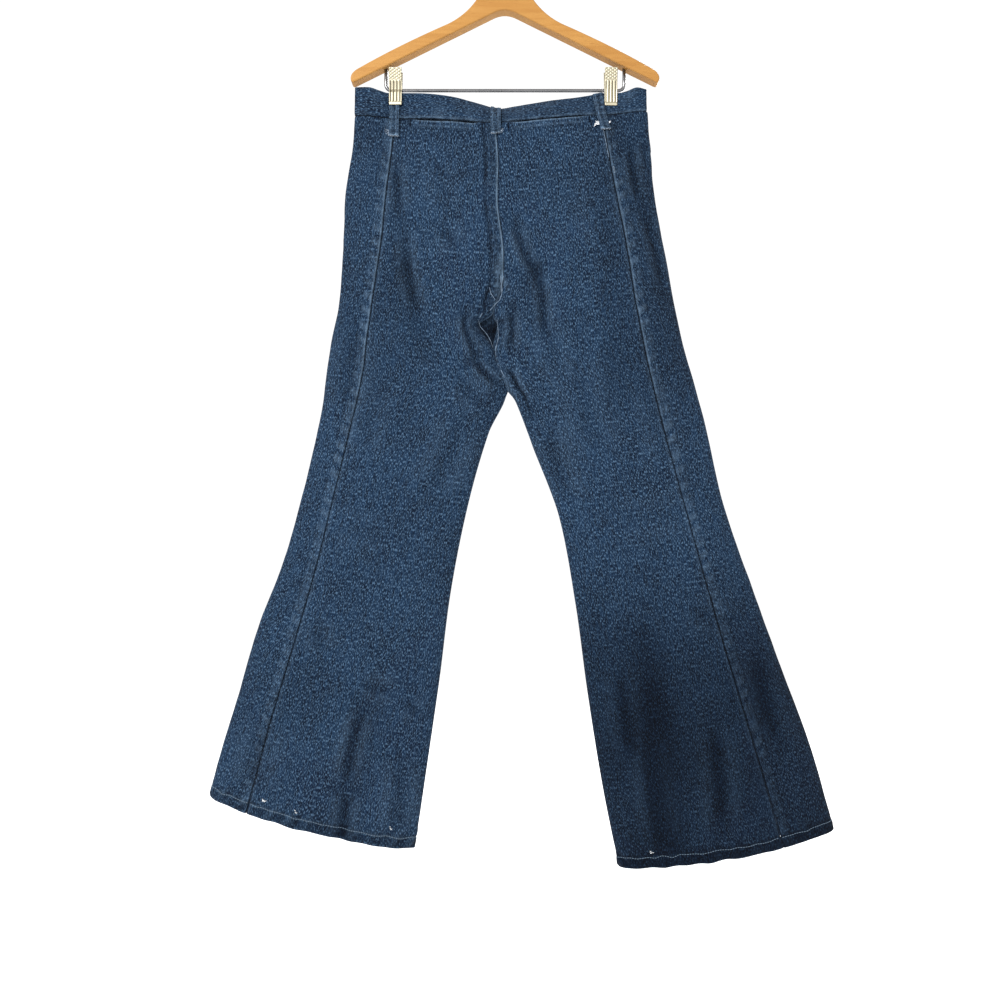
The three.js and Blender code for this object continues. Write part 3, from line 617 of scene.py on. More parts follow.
# The small pit where the four seams meet: its place, its reach and how far its rims are drawn apart
PIT = SimpleNamespace(x=-17.3, z=-567.0, above=8.0, below=22.0, reach=26.0)
PIT_SLIDE = {"left": -17.0, "right": 6.5}
PIT_KNOT = SimpleNamespace(x=-20, z=-557)
LEGS_PART_Z = -672


def pit_share(x, z):
    """How near a point of the back is to the small pit where the four seams meet."""
    fall = np.where(z > PIT.z, PIT.above, PIT.below)
    return bell(z - PIT.z, fall) * bell(x - PIT.x, PIT.reach)


def crotch_relief(relief, form, x, z):
    """The pit's edges drawn apart, and the legs' edges drawn together from there to their parting."""
    if form.on_front:
        return
    near = pit_share(x, z)
    inwards = 1 if form.side == "left" else -1
    closed = smooth((PIT.z - 12 - z) / 20) * smooth((z - LEGS_PART_Z) / 14) * bell(x, 22)
    relief.slide[..., 0] += PIT_SLIDE[form.side] * near + inwards * 1.9 * closed
    # Painted shade in the pit
    relief.add(height=-1.2 * near, shade=0.3 * near * bell(form.to_inner - 9, 6))
    if form.side == "right":
        relief.add(
            height=1.4 * closed * smooth((13 - form.to_inner) / 3),
            wear=0.12 * closed * bell(form.to_inner - 6, 5),
        )


def waist_edge_relief(relief, form, x):
    along = form.along
    # Painted shade in the waist seam's groove under the band
    relief.add(height=-0.5 * bell(along, 1.5), shade=0.65 * bell(along, 1.2))
    if form.on_front:
        return
    for pocket in POCKETS:
        if pocket.side != form.side:
            continue
        width = smooth((x - pocket.from_x - 2) / 12) * smooth((pocket.to_x - 2 - x) / 12)
        sag = pocket.gap * width * (1 + 0.25 * wander(form.seed + 4, 25, 60, x))
        relief.slide[..., 2] -= sag * (1 - smooth(along / 16))
        # The shade term is a painted shadow below the pocket's raised lip
        relief.add(
            height=0.9 * width * bell(along - 5, 4),
            wear=0.6 * width * bell(along - 1.5, 1.2) + 0.2 * width * bell(along - 9, 1.5),
            shade=0.3 * width * bell(along - 13, 3.5),
        )


def hem_relief(relief, form, sewing):
    """The turned-up hem, roped by its sewing into slanting puckers."""
    up = form.length - form.along
    around = form.around
    rope = wander(form.seed + 5, 13, 30, around + 0.8 * up)
    hem = smooth(up / 3) * (1 - smooth((up - HEM_HEIGHT + 1) / 3))
    above = smooth((up - HEM_HEIGHT) / 3) * (1 - smooth((up - HEM_HEIGHT - 4) / 14))
    stitched = bell(up - HEM_HEIGHT + 0.5, 1.4)
    worn_end = 0.16 * (1 - smooth(up / 1.8))
    # The shade term darkens the hem band, less on the pucker tops, which is painted light following the
    # puckers; it also lays a painted shadow just above the hem's top edge and lightens the puckers above it
    relief.add(
        height=hem * (0.35 + sewing.hem_pucker / MM * rope) + above * 0.55 * rope - 0.8 * stitched,
        wear=0.04 * hem * np.maximum(0, rope) + worn_end + 0.22 * stitched + 0.03 * above * rope,
        shade=hem * (0.34 - 0.08 * rope) + 0.5 * bell(up - HEM_HEIGHT - 2.4, 1.2) - 0.06 * above * rope,
    )
    waves = wander(form.seed + 6, 24, 70, around)
    relief.slide[..., 2] += 0.6 * waves * (1 - smooth(up / 26))


def cloth_relief(form, sewing):
    x, z = form.base[..., 0], form.base[..., 2]
    relief = Relief(x.shape)
    side_seam_relief(relief, form, sewing)
    inner_seam_relief(relief, form)
    crotch_relief(relief, form, x, z)
    waist_edge_relief(relief, form, x)
    hem_relief(relief, form, sewing)
    crease_relief(relief, form.face, x, z)
    edges = smooth(form.to_inner / 9) * smooth(form.to_seam / 5)
    broad = wander(form.seed + 7, 55, 170, x, 0.6 * z)
    small = wander(form.seed + 8, 12, 34, x, 0.5 * z)
    # Crests of the broad undulation take less shade: painted light following the relief
    relief.add(height=edges * (0.8 * broad + 0.16 * small), shade=-0.05 * edges * broad)
    lower = smooth((form.along - LOWER_LEG.starts) / LOWER_LEG.fades_over)
    relief.add(shade=lower * LOWER_LEG.shade[form.side])
    upper = smooth((z - FLANKS.fades_below) / FLANKS.fades_over)
    for side, outwards in (("left", -1), ("right", 1)):
        past = smooth(outwards * (x - FLANK_EDGE[side]) / FLANKS.reach)
        relief.add(shade=upper * FLANK_SHADE[side] * past)
    return relief


# Grid lines close to a panel's side edges and to its top and hem, then the pitches between them
FINE_COLUMNS = (0.0, 0.7, 1.4, 2.2, 3.2, 4.5, 6.0, 7.6, 9.2, 10.8, 12.2, 13.6, 15.0, 16.8, 18.6, 21.0)
FINE_ROWS = (0.0, 0.8, 1.7, 2.8, 4.2, 6.0, 8.0, 10.0, 12.0, 13.4, 14.8, 16.5, 19.0, 22.0)
ROW_PITCH = 3.2
COLUMN_PITCH = 3.0
ARC_SAMPLES = 260


@lru_cache(maxsize=None)
def panel_form(side, on_front):
    """The fine grid of one panel: rows run down from the waist, columns from the inner edge to the
    side seam on the back panel, and from the side seam round to the inner edge on the front one."""
    sewing = bpy.context.scene.jeans_sewing
    length = side_length(side)
    along = edge_steps(length, FINE_ROWS, round(length / ROW_PITCH))
    edge = SEAM_GAP / 2 / length
    down = mix(edge, 1 - edge, along / length)
    seam = seam_turn(side, down)
    if on_front:
        first, last = seam + SEAM_TURN, np.full_like(seam, 2 - INNER_TURN)
    else:
        first, last = np.full_like(seam, INNER_TURN), seam - SEAM_TURN
    dense = mix(first[:, None], last[:, None], np.linspace(0, 1, ARC_SAMPLES))
    steps = np.linalg.norm(np.diff(cloth(side, dense, down[:, None]), axis=1), axis=-1)
    run = np.concatenate([np.zeros((len(down), 1)), np.cumsum(steps, axis=1)], axis=1)
    total = run[:, -1]
    places = edge_steps(total, FINE_COLUMNS, round(float(total.mean()) / COLUMN_PITCH) - 14)
    turn = np.array([np.interp(places[r], run[r], dense[r]) for r in range(len(down))])
    form = SimpleNamespace(side=side, on_front=on_front, length=length, rows=along, places=places)
    form.seed = 10 * (1 + 2 * (side == "right") + on_front)
    form.total = total
    form.down = np.broadcast_to(down[:, None], turn.shape)
    form.along = np.broadcast_to(along[:, None], turn.shape)
    form.base = cloth(side, turn, form.down)
    form.face = np.where(turn < 1, BACK, FRONT)
    remaining = total[:, None] - places
    form.to_seam = places if on_front else remaining
    form.to_inner = remaining if on_front else places
    form.around = places + (0 if not on_front else panel_form(side, False).total[:, None])
    middle_x = (form.base[:, :1, 0] + SIDES[side].outer.read("x", form.down)[:, :1]) / 2
    centre = np.stack([middle_x, 0 * middle_x, form.base[:, :1, 2]], axis=-1)
    form.outward = outward_of(form.base, centre)
    relief = cloth_relief(form, sewing)
    form.points = form.base + relief.slide + form.outward * relief.height[..., None]
    form.outward = outward_of(form.points, centre)
    form.wear = np.clip(relief.wear, 0, 1)
    form.shade = np.clip(relief.shade, 0, 1)
    return form


def sample(form, along, away, from_last=False):
    """Points and outward directions of a panel at distances from its top and from one side edge."""
    along, away = np.broadcast_arrays(np.asarray(along, float), np.asarray(away, float))
    row = np.interp(along.ravel(), form.rows, np.arange(len(form.rows)))
    low = np.minimum(row.astype(int), len(form.rows) - 2)
    share = (row - low)[:, None]
    found = []
    for step in (0, 1):
        at = low + step
        place = form.total[at] - away.ravel() if from_last else away.ravel()
        numbers = np.arange(form.places.shape[1])
        column = np.array([np.interp(p, form.places[r], numbers) for p, r in zip(place, at)])
        left = np.minimum(column.astype(int), form.places.shape[1] - 2)
        part = (column - left)[:, None]
        grids = (form.points, form.outward)
        found.append([mix(grid[at, left], grid[at, left + 1], part) for grid in grids])
    points, outward = (mix(found[0][k], found[1][k], share) for k in (0, 1))
    shape = along.shape + (3,)
    return points.reshape(shape), unit(outward).reshape(shape)


def away_at_x(form, x):
    """How far from a panel's first edge its top row has the given X."""
    near = np.argsort(form.base[0, :, 0])
    return np.interp(x, form.base[0, near, 0], form.places[0, near])


def rounded(distance, radius):
    """1 in a wall's middle, falling round to a third at its cut edge."""
    s = 1 - np.clip(distance / radius, 0, 1)
    return 0.34 + 0.66 * np.sqrt(1 - s * s)


def grid_faces(rows, columns, closed=False):
    """Numbers of a grid's points and the faces between them; a closed grid's rows are rings."""
    number = np.arange(rows * columns).reshape(rows, columns)
    if closed:
        number = np.concatenate([number, number[:, :1]], axis=1)
    corners = (number[:-1, :-1], number[:-1, 1:], number[1:, 1:], number[1:, :-1])
    return number, np.stack(corners, axis=-1).reshape(-1, 4)


# The corners of a face taken the other way round
TURNED = [0, 3, 2, 1]


def strip(outer, inner):
    return np.stack([outer[:-1], outer[1:], inner[1:], inner[:-1]], axis=-1)


def shell(middle, outward, outer, inner, ring=False):
    """Points and faces of a closed wall on a grid, from inner to outer along outward."""
    rows, columns = middle.shape[:2]
    outer = np.broadcast_to(outer, (rows, columns))[..., None]
    inner = np.broadcast_to(inner, (rows, columns))[..., None]
    points = np.concatenate([(middle + outward * offset).reshape(-1, 3) for offset in (outer, inner)])
    number, top = grid_faces(rows, columns, ring)
    under = number + rows * columns
    walls = [strip(number[0, ::-1], under[0, ::-1]), strip(number[-1], under[-1])]
    if not ring:
        walls += [strip(number[:, 0], under[:, 0]), strip(number[::-1, -1], under[::-1, -1])]
    faces = np.concatenate([top, top[:, ::-1] + rows * columns, *walls])
    across = middle[rows // 2, 1] - middle[rows // 2, 0]
    down = middle[rows // 2, 0] - middle[rows // 2 - 1, 0]
    if np.dot(np.cross(across, down), outward[rows // 2, 0]) < 0:
        faces = faces[:, ::-1]
    return points, [faces]


def tube(path, radius, sides=12, up=(0, 1, 0), taper=0.0):
    """Points and faces of a round wire along a path; taper is the share by which its ends narrow."""
    path = np.asarray(path, float)
    radius = np.broadcast_to(radius, len(path)).astype(float)
    ends = np.minimum(np.arange(len(path)), np.arange(len(path))[::-1])
    radius = radius * np.where(ends == 0, 1 - taper, 1)
    along = unit(np.gradient(path, axis=0))
    side = unit(np.cross(along, np.asarray(up, float)))
    lift = np.cross(side, along)
    angle = np.linspace(0, 2 * np.pi, sides, endpoint=False)
    ring = np.cos(angle)[:, None, None] * side + np.sin(angle)[:, None, None] * lift
    points = (path + ring * radius[:, None]).transpose(1, 0, 2).reshape(-1, 3)
    number, quads = grid_faces(len(path), sides, closed=True)
    caps = np.stack([number[0, :-1], number[-1, :-1][::-1]])
    return points, [quads[:, TURNED], caps]


def lathe(profile, sides=40):
    """Points and faces of a closed profile (radius, height) turned round Z."""
    profile = np.asarray(profile, float)
    angle = np.linspace(0, 2 * np.pi, sides, endpoint=False)
    ring = np.stack([np.cos(angle), np.sin(angle)], axis=-1)
    height = np.broadcast_to(profile[:, None, 1:], (len(profile), sides, 1))
    points = np.concatenate([profile[:, None, :1] * ring, height], axis=-1).reshape(-1, 3)
    return points, grid_faces(len(profile), sides, closed=True)[1]


def joined(parts):
    """Several lists of points and faces as one."""
    points, faces, start = [], [], 0
    for part_points, part_faces in parts:
        points.append(part_points)
        faces += [face + start for face in part_faces]
        start += len(part_points)
    return np.concatenate(points), faces


def add_piece(name, shape, finish, uv=None, marks=None, replaces=(), smooth_faces=True):
    """A mesh object from points in mm and lists of faces, riding on the frame's body."""
    points, faces = shape
    points = np.asarray(points, np.float32).reshape(-1, 3) * np.float32(MM)
    corners = np.concatenate([face.ravel() for face in faces]).astype(np.int32)
    counts = np.concatenate([np.full(len(face), face.shape[1]) for face in faces])
    starts = np.concatenate([[0], np.cumsum(counts)[:-1]]).astype(np.int32)
    mesh = bpy.data.meshes.new(name)
    mesh.vertices.add(len(points))
    mesh.vertices.foreach_set("co", points.ravel())
    mesh.loops.add(len(corners))
    mesh.loops.foreach_set("vertex_index", corners)
    mesh.polygons.add(len(counts))
    mesh.polygons.foreach_set("loop_start", starts)
    mesh.polygons.foreach_set("use_smooth", np.full(len(counts), smooth_faces))
    if uv is not None:
        layer = mesh.uv_layers.new(name="cloth")
        layer.data.foreach_set("uv", np.asarray(uv, np.float32)[corners].ravel())
    for mark, values in (marks or {}).items():
        attribute = mesh.attributes.new(mark, "FLOAT", "POINT")
        attribute.data.foreach_set("value", np.asarray(values, np.float32).ravel())
    mesh.update(calc_edges=True)
    mesh.validate()
    mesh.materials.append(finish)
    piece = bpy.data.objects.new(name, mesh)
    bpy.context.scene.collection.objects.link(piece)
    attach(piece, BODY)
    if replaces:
        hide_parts(*replaces)
    return piece


class Graph:
    """Short calls for the nodes of one material."""

    def __init__(self, name, uv_name="cloth"):
        self.material = bpy.data.materials.new(name)
        self.material.use_nodes = True
        self.nodes = self.material.node_tree.nodes
        self.links = self.material.node_tree.links
        self.shader = self.nodes["Principled BSDF"]
        if uv_name:
            place = self.nodes.new("ShaderNodeUVMap")
            place.uv_map = uv_name
            self.origin = place.outputs["UV"]
        else:
            self.origin = self.nodes.new("ShaderNodeTexCoord").outputs["Object"]

    def put(self, socket, value):
        if isinstance(value, bpy.types.NodeSocket):
            self.links.new(value, socket)
        else:
            socket.default_value = value

    def noise(self, scale, detail=2.0, roughness=0.5, shift=(0.0, 0.0, 0.0)):
        """Noise with so many blotches a metre along each axis."""
        mapping = self.nodes.new("ShaderNodeMapping")
        mapping.inputs["Scale"].default_value = scale
        mapping.inputs["Location"].default_value = shift
        self.links.new(self.origin, mapping.inputs["Vector"])
        noise = self.nodes.new("ShaderNodeTexNoise")
        noise.inputs["Scale"].default_value = 1.0
        noise.inputs["Detail"].default_value = detail
        noise.inputs["Roughness"].default_value = roughness
        self.links.new(mapping.outputs["Vector"], noise.inputs["Vector"])
        return noise.outputs["Fac"]

    def ribs(self, pitch, angle):
        """Straight ribs of the weave, pitch metres apart."""
        mapping = self.nodes.new("ShaderNodeMapping")
        mapping.inputs["Rotation"].default_value = (0.0, 0.0, angle)
        self.links.new(self.origin, mapping.inputs["Vector"])
        wave = self.nodes.new("ShaderNodeTexWave")
        wave.inputs["Scale"].default_value = math.pi / 10 / pitch
        self.links.new(mapping.outputs["Vector"], wave.inputs["Vector"])
        return wave.outputs["Fac"]

    def spread(self, value, low, high, out_low=0.0, out_high=1.0):
        node = self.nodes.new("ShaderNodeMapRange")
        node.interpolation_type = "SMOOTHSTEP"
        limits = {"From Min": low, "From Max": high, "To Min": out_low, "To Max": out_high}
        for key, number in limits.items():
            node.inputs[key].default_value = number
        self.put(node.inputs["Value"], value)
        return node.outputs["Result"]

    def math(self, operation, first, second=0.0):
        node = self.nodes.new("ShaderNodeMath")
        node.operation = operation
        self.put(node.inputs[0], first)
        self.put(node.inputs[1], second)
        return node.outputs[0]

    def blend(self, share, first, second, kind="MIX"):
        node = self.nodes.new("ShaderNodeMix")
        node.data_type = "RGBA"
        node.blend_type = kind
        self.put(node.inputs["Factor"], share)
        self.put(node.inputs["A"], (*first, 1.0) if isinstance(first, tuple) else first)
        self.put(node.inputs["B"], (*second, 1.0) if isinstance(second, tuple) else second)
        return node.outputs["Result"]

    def mark(self, name):
        node = self.nodes.new("ShaderNodeAttribute")
        node.attribute_name = name
        return node.outputs["Fac"]

    def bump(self, height, distance, strength=1.0, normal=None):
        node = self.nodes.new("ShaderNodeBump")
        node.inputs["Strength"].default_value = strength
        node.inputs["Distance"].default_value = distance
        self.put(node.inputs["Height"], height)
        if normal is not None:
            self.links.new(normal, node.inputs["Normal"])
        return node.outputs["Normal"]

    def finish(self, color, roughness, normal=None, **constants):
        self.put(self.shader.inputs["Base Color"], (*color, 1.0) if isinstance(color, tuple) else color)
        self.put(self.shader.inputs["Roughness"], roughness)
        if normal is not None:
            self.links.new(normal, self.shader.inputs["Normal"])
        for key, value in constants.items():
            self.shader.inputs[key.replace("_", " ")].default_value = value
        return self.material


@lru_cache(maxsize=None)
def denim_finish():
    """Slubby indigo twill: streaks along the grain, pale flecks, worn ridges and painted shade in the
    hollows.
    """
    colors = bpy.context.scene.jeans_denim
    graph = Graph("denim")
    streaks = graph.noise((540.0, 56.0, 1.0), detail=2.0, roughness=0.65)
    slubs = graph.noise((370.0, 32.0, 1.0), detail=3.0, roughness=0.7, shift=(3.0, 7.0, 0.0))
    wefts = graph.noise((80.0, 560.0, 1.0), detail=2.0, roughness=0.6, shift=(9.0, 1.0, 0.0))
    flecks = graph.noise((920.0, 270.0, 1.0), detail=2.0, shift=(5.0, 2.0, 0.0))
    clouds = graph.noise((17.0, 9.0, 1.0), detail=4.0, roughness=0.6, shift=(1.0, 4.0, 0.0))
    weave = graph.math("ADD", graph.math("MULTIPLY", streaks, 0.45), graph.math("MULTIPLY", slubs, 0.42))
    weave = graph.math("ADD", weave, graph.math("MULTIPLY", wefts, 0.13))
    weave = graph.math("ADD", weave, graph.math("MULTIPLY", graph.math("SUBTRACT", clouds, 0.5), 0.22))
    cloth_color = graph.blend(graph.spread(weave, 0.42, 0.58), tuple(colors.dark), tuple(colors.mid))
    cloth_color = graph.blend(graph.spread(flecks, 0.5, 0.68, 0.0, 0.9), cloth_color, tuple(colors.light))
    half_worn = tuple(0.42 * part for part in colors.worn)
    worn = graph.blend(graph.spread(weave, 0.4, 0.56), half_worn, tuple(colors.worn))
    cloth_color = graph.blend(graph.mark("wear"), cloth_color, worn)
    # Painted shade: the shade mark multiplies the cloth by the hollows colour
    cloth_color = graph.blend(graph.mark("shade"), cloth_color, tuple(colors.deep), "MULTIPLY")
    inside = graph.blend(graph.spread(weave, 0.4, 0.6), tuple(colors.mid), tuple(colors.reverse))
    cloth_color = graph.blend(graph.mark("inside"), cloth_color, inside)
    twill = graph.ribs(colors.twill_pitch, math.radians(28))
    lumps = graph.math("ADD", graph.math("MULTIPLY", streaks, 0.6), graph.math("MULTIPLY", slubs, 0.6))
    normal = graph.bump(lumps, 0.0011, 0.55)
    normal = graph.bump(twill, 0.00022, 0.5, normal)
    return graph.finish(
        cloth_color, 0.93, normal, Sheen_Weight=0.02, Sheen_Roughness=0.5, Specular_IOR_Level=0.08,
    )


@lru_cache(maxsize=None)
def thread_finish(name, color):
    graph = Graph(name, uv_name=None)
    shade = graph.noise((900.0, 900.0, 900.0), detail=1.0)
    dark = tuple(0.62 * part for part in color)
    normal = graph.bump(shade, 0.0001, 0.5)
    return graph.finish(graph.blend(shade, dark, color), 0.8, normal, Specular_IOR_Level=0.1)


@lru_cache(maxsize=None)
def facing_finish():
    graph = Graph("navy_drill")
    rows = graph.ribs(0.0008, math.radians(30))
    patches = graph.noise((90.0, 60.0, 1.0), detail=3.0)
    color = graph.blend(patches, (0.012, 0.018, 0.034), (0.03, 0.042, 0.07))
    return graph.finish(color, 0.92, graph.bump(rows, 0.0002, 0.5), Sheen_Weight=0.1)


@lru_cache(maxsize=None)
def wood_finish():
    """Lacquered beech: long grain and short flecks."""
    colors = bpy.context.scene.jeans_hanger
    graph = Graph("beech", uv_name=None)
    grain = graph.noise((9.0, 160.0, 160.0), detail=4.0, roughness=0.6)
    bands = graph.noise((3.0, 26.0, 34.0), detail=2.0, shift=(2.0, 0.0, 5.0))
    flecks = graph.noise((70.0, 700.0, 700.0), detail=1.0, shift=(0.0, 3.0, 1.0))
    figure = graph.math("ADD", graph.math("MULTIPLY", grain, 0.6), graph.math("MULTIPLY", bands, 0.4))
    color = graph.blend(graph.spread(figure, 0.34, 0.66), tuple(colors.wood_dark), tuple(colors.wood_light))
    color = graph.blend(graph.spread(flecks, 0.6, 0.78, 0.0, 0.4), color, tuple(colors.wood_fleck))
    normal = graph.bump(grain, 0.0002, 0.35)
    roughness = graph.spread(grain, 0.3, 0.7, 0.3, 0.42)
    return graph.finish(
        color, roughness, normal, Coat_Weight=0.03, Coat_Roughness=0.2, Specular_IOR_Level=0.08,
    )


@lru_cache(maxsize=None)
def metal_finish(name, bright, recess_tarnish_and_shade, roughness):
    """Plated metal with fine rubbing marks; points marked as shade blend to a dark colour, which is painted
    shade in the clips' grooves and tarnish in the button's recesses.
    """
    graph = Graph(name, uv_name=None)
    marks = graph.noise((420.0, 420.0, 60.0), detail=3.0)
    patches = graph.noise((40.0, 40.0, 40.0), detail=2.0, shift=(4.0, 1.0, 2.0))
    color = graph.blend(graph.spread(patches, 0.3, 0.7), bright, tuple(0.86 * part for part in bright))
    color = graph.blend(graph.mark("shade"), color, recess_tarnish_and_shade)
    rough = graph.spread(marks, 0.3, 0.7, roughness, roughness + 0.14)
    return graph.finish(color, rough, graph.bump(marks, 0.00006, 0.3), Metallic=1.0)


def chrome():
    colors = bpy.context.scene.jeans_hanger
    return metal_finish("chrome", tuple(colors.chrome), (0.05, 0.04, 0.03), 0.2)


def brass():
    return metal_finish("aged_brass", (0.52, 0.37, 0.18), (0.09, 0.06, 0.03), 0.32)


def cloth_marks(wear, shade, layers=2):
    """Marks for a shell's outer and inner grids; with two layers the inner one is the reverse."""
    outer = {"wear": wear.ravel(), "shade": shade.ravel(), "inside": np.zeros(wear.size)}
    inner = outer
    if layers == 2:
        inner = {"wear": 0 * outer["wear"], "shade": 0.5 * outer["shade"], "inside": outer["inside"] + 1}
    return {key: np.concatenate([outer[key], inner[key]]) for key in outer}


def doubled(uv):
    flat = np.asarray(uv, float).reshape(-1, 2)
    return np.concatenate([flat, flat])


def cloth_piece(name, shape, uv, marks):
    """A denim shell laid on the solid of that name."""
    return add_piece(f"cloth_{name}", shape, denim_finish(), doubled(uv), marks, [name])


def panel_piece(side, on_front):
    form = panel_form(side, on_front)
    name = f"{'front' if on_front else 'back'}_panel_{side}"
    ends = np.minimum(form.along, form.length - form.along)
    half = WALL / 2 * rounded(np.minimum(ends, np.minimum(form.to_seam, form.to_inner)), 1.0)
    shape = shell(form.points, form.outward, half, -half)
    shift = form.seed * PANEL_SHIFT
    uv = np.stack([(form.places - form.total[:, None] / 2) * MM + shift, form.along * MM + shift], axis=-1)
    marks = cloth_marks(form.wear, form.shade)
    piece = cloth_piece(name, shape, uv, marks)
    return piece


def hem_piece(side):
    """The turned-up layer, a ring inside the leg's end that follows the panels' own points."""
    forms = [panel_form(side, False), panel_form(side, True)]
    rows = forms[0].rows > forms[0].length - HEM_HEIGHT
    points = np.concatenate([form.points[rows] for form in forms], axis=1)
    outward = unit(np.concatenate([form.outward[rows] for form in forms], axis=1))
    up = forms[0].length - forms[0].rows[rows]
    inside = -(WALL / 2 + SEAM_GAP)
    edge = rounded(np.minimum(up, HEM_HEIGHT - up), 0.8)[:, None] * np.ones(points.shape[:2])
    middle = inside - HEM_WALL / 2
    shape = shell(points, outward, middle + HEM_WALL / 2 * edge, middle - HEM_WALL / 2 * edge, ring=True)
    around = np.concatenate([form.around[rows] for form in forms], axis=1)
    uv = np.stack([around * MM + WEAVE_SHIFT["hem"], up[:, None] * MM + 0 * around], axis=-1)
    wear = np.clip(np.concatenate([form.wear[rows] for form in forms], axis=1), 0, 1)
    # The turned-up layer inside the leg takes an even painted shade
    marks = cloth_marks(wear, 0.3 + 0 * wear, layers=1)
    piece = cloth_piece(f"hem_{side}", shape, uv, marks)
    return piece


def band_turns():
    """Columns of the waistband, evenly spaced round it, from the lap at the left end to the right."""
    dense = np.linspace(-2 - LAP_REACH, 2 - INNER_TURN, 2400)
    run = path_run(band_point(dense, 0.5))
    places = edge_steps(run[-1], (0.0, 0.8, 1.8, 3.2), 300)
    return np.interp(places, run, dense), places


def band_point(turn, up):
    turn, up = np.broadcast_arrays(turn, up)
    lapped = smooth((-turn - LAP_STARTS) / LAP_REACH) * (BAND_WALL + SEAM_GAP)
    under = band("right", np.clip(4 + turn, 0, 2), up)
    left = band("left", np.clip(-turn, 0, 2), up)
    right = band("right", np.clip(turn, 0, 2), up)
    point = np.where((turn < -2)[..., None], under, np.where((turn < 0)[..., None], left, right))
    point[..., 1] += lapped
    return point


@lru_cache(maxsize=None)
def band_form():
    turn, places = band_turns()
    ups = np.concatenate([[0, 0.03, 0.07, 0.12], np.linspace(0.2, 0.84, 9), [0.9, 0.94, 0.97, 1.0]])
    base = band_point(turn[None, :], ups[:, None])
    centre = np.array([CENTRE_X, 0.0, 0.0]) + base * np.array([0, 0, 1])
    outward = outward_of(base, centre)
    up = np.broadcast_to(ups[:, None], base.shape[:2])
    along = np.broadcast_to(places[None, :], up.shape)
    x = base[..., 0]
    face = np.sign(base[..., 1] + 0.1)
    on_loop = sum(
        bell((x - mix(loop.top_x, loop.foot_x, 0.3)) / (0.8 * LOOP_WIDTH), 1) * (face == loop.face)
        for loop in LOOPS
    )
    ripple = wander(81, 20, 60, along, 30 * up)
    fine = wander(82, 9, 22, along, 45 * up)
    height = (0.22 * ripple + 0.1 * fine) * (1 - np.clip(on_loop, 0, 1))
    height += 0.25 * bell(up - 0.16, 0.08) - 0.3 * bell(up - 0.06, 0.03)
    lower_line = bell(up - 0.05, 0.04) * (0.45 + 0.25 * wander(83, 12, 40, along)) * (x > CLIP_X["left"] - 6)
    # The wear mark holds rubbed wear along the lower edge, rubbed wear with a painted highlight along the
    # top edge, and a painted highlight on the ripple crests
    wear = 0.75 * lower_line + 0.25 * smooth((up - 0.95) / 0.05) + 0.05 * np.maximum(0, ripple)
    # The shade term darkens the whole band a little, and adds painted shade along its bottom edge and
    # painted shadow about the belt loops
    shade = 0.14 + 0.5 * bell(up, 0.025) + 0.2 * on_loop
    form = SimpleNamespace(ups=ups, up=up, along=along)
    form.points = base + outward * height[..., None]
    form.outward = outward_of(form.points, centre)
    form.wear, form.shade = np.clip(wear, 0, 1), np.clip(shade, 0, 1)
    return form


def waistband_piece():
    form = band_form()
    ends = np.minimum(form.along, form.along.max() - form.along)
    distance = np.minimum(np.minimum(form.up, 1 - form.up) * BAND_HEIGHT, ends)
    half = BAND_WALL / 2 * rounded(distance, 1.3)
    shape = shell(form.points, form.outward, half, -half)
    uv = np.stack([form.up * BAND_HEIGHT, form.along], axis=-1) * MM + WEAVE_SHIFT["band"]
    marks = cloth_marks(form.wear, form.shade)
    piece = cloth_piece("waistband", shape, uv, marks)
    return piece


def loop_point(loop, aside, drop):
    """Middle of a belt loop: drop runs from -1 at the band's top to 1 at the foot."""
    aside, drop = np.broadcast_arrays(aside, drop)
    x = mix(loop.top_x, loop.foot_x, (drop + 1) / 2) + aside
    on_band = BAND_WALL / 2 + SEAM_GAP + LOOP_WALL / 2
    found = {}
    for side in SIDES:
        turn = turn_at_x(side, loop.face, x)
        up = np.clip(-drop, 0, 1)
        low = band(side, turn, np.minimum(up, 0.9))
        lean = band(side, turn, np.minimum(up, 0.9) + 0.1) - low
        tilt = np.where(drop < 0, np.linalg.norm(lean, axis=-1) / lean[..., 2], 1.0)
        below = cloth(side, turn, np.maximum(drop, 0) * loop.foot / side_length(side))
        base = np.where((drop < 0)[..., None], band(side, turn, up), below)
        bulge = loop.slack * LOOP_SLACK * np.sin(np.pi * (drop + 1) / 2) ** 2
        base[..., 1] += loop.face * ((on_band + LOOP_EASE) * tilt + bulge)
        found[side] = base
    return np.where((x < CENTRE_X)[..., None], found["left"], found["right"])


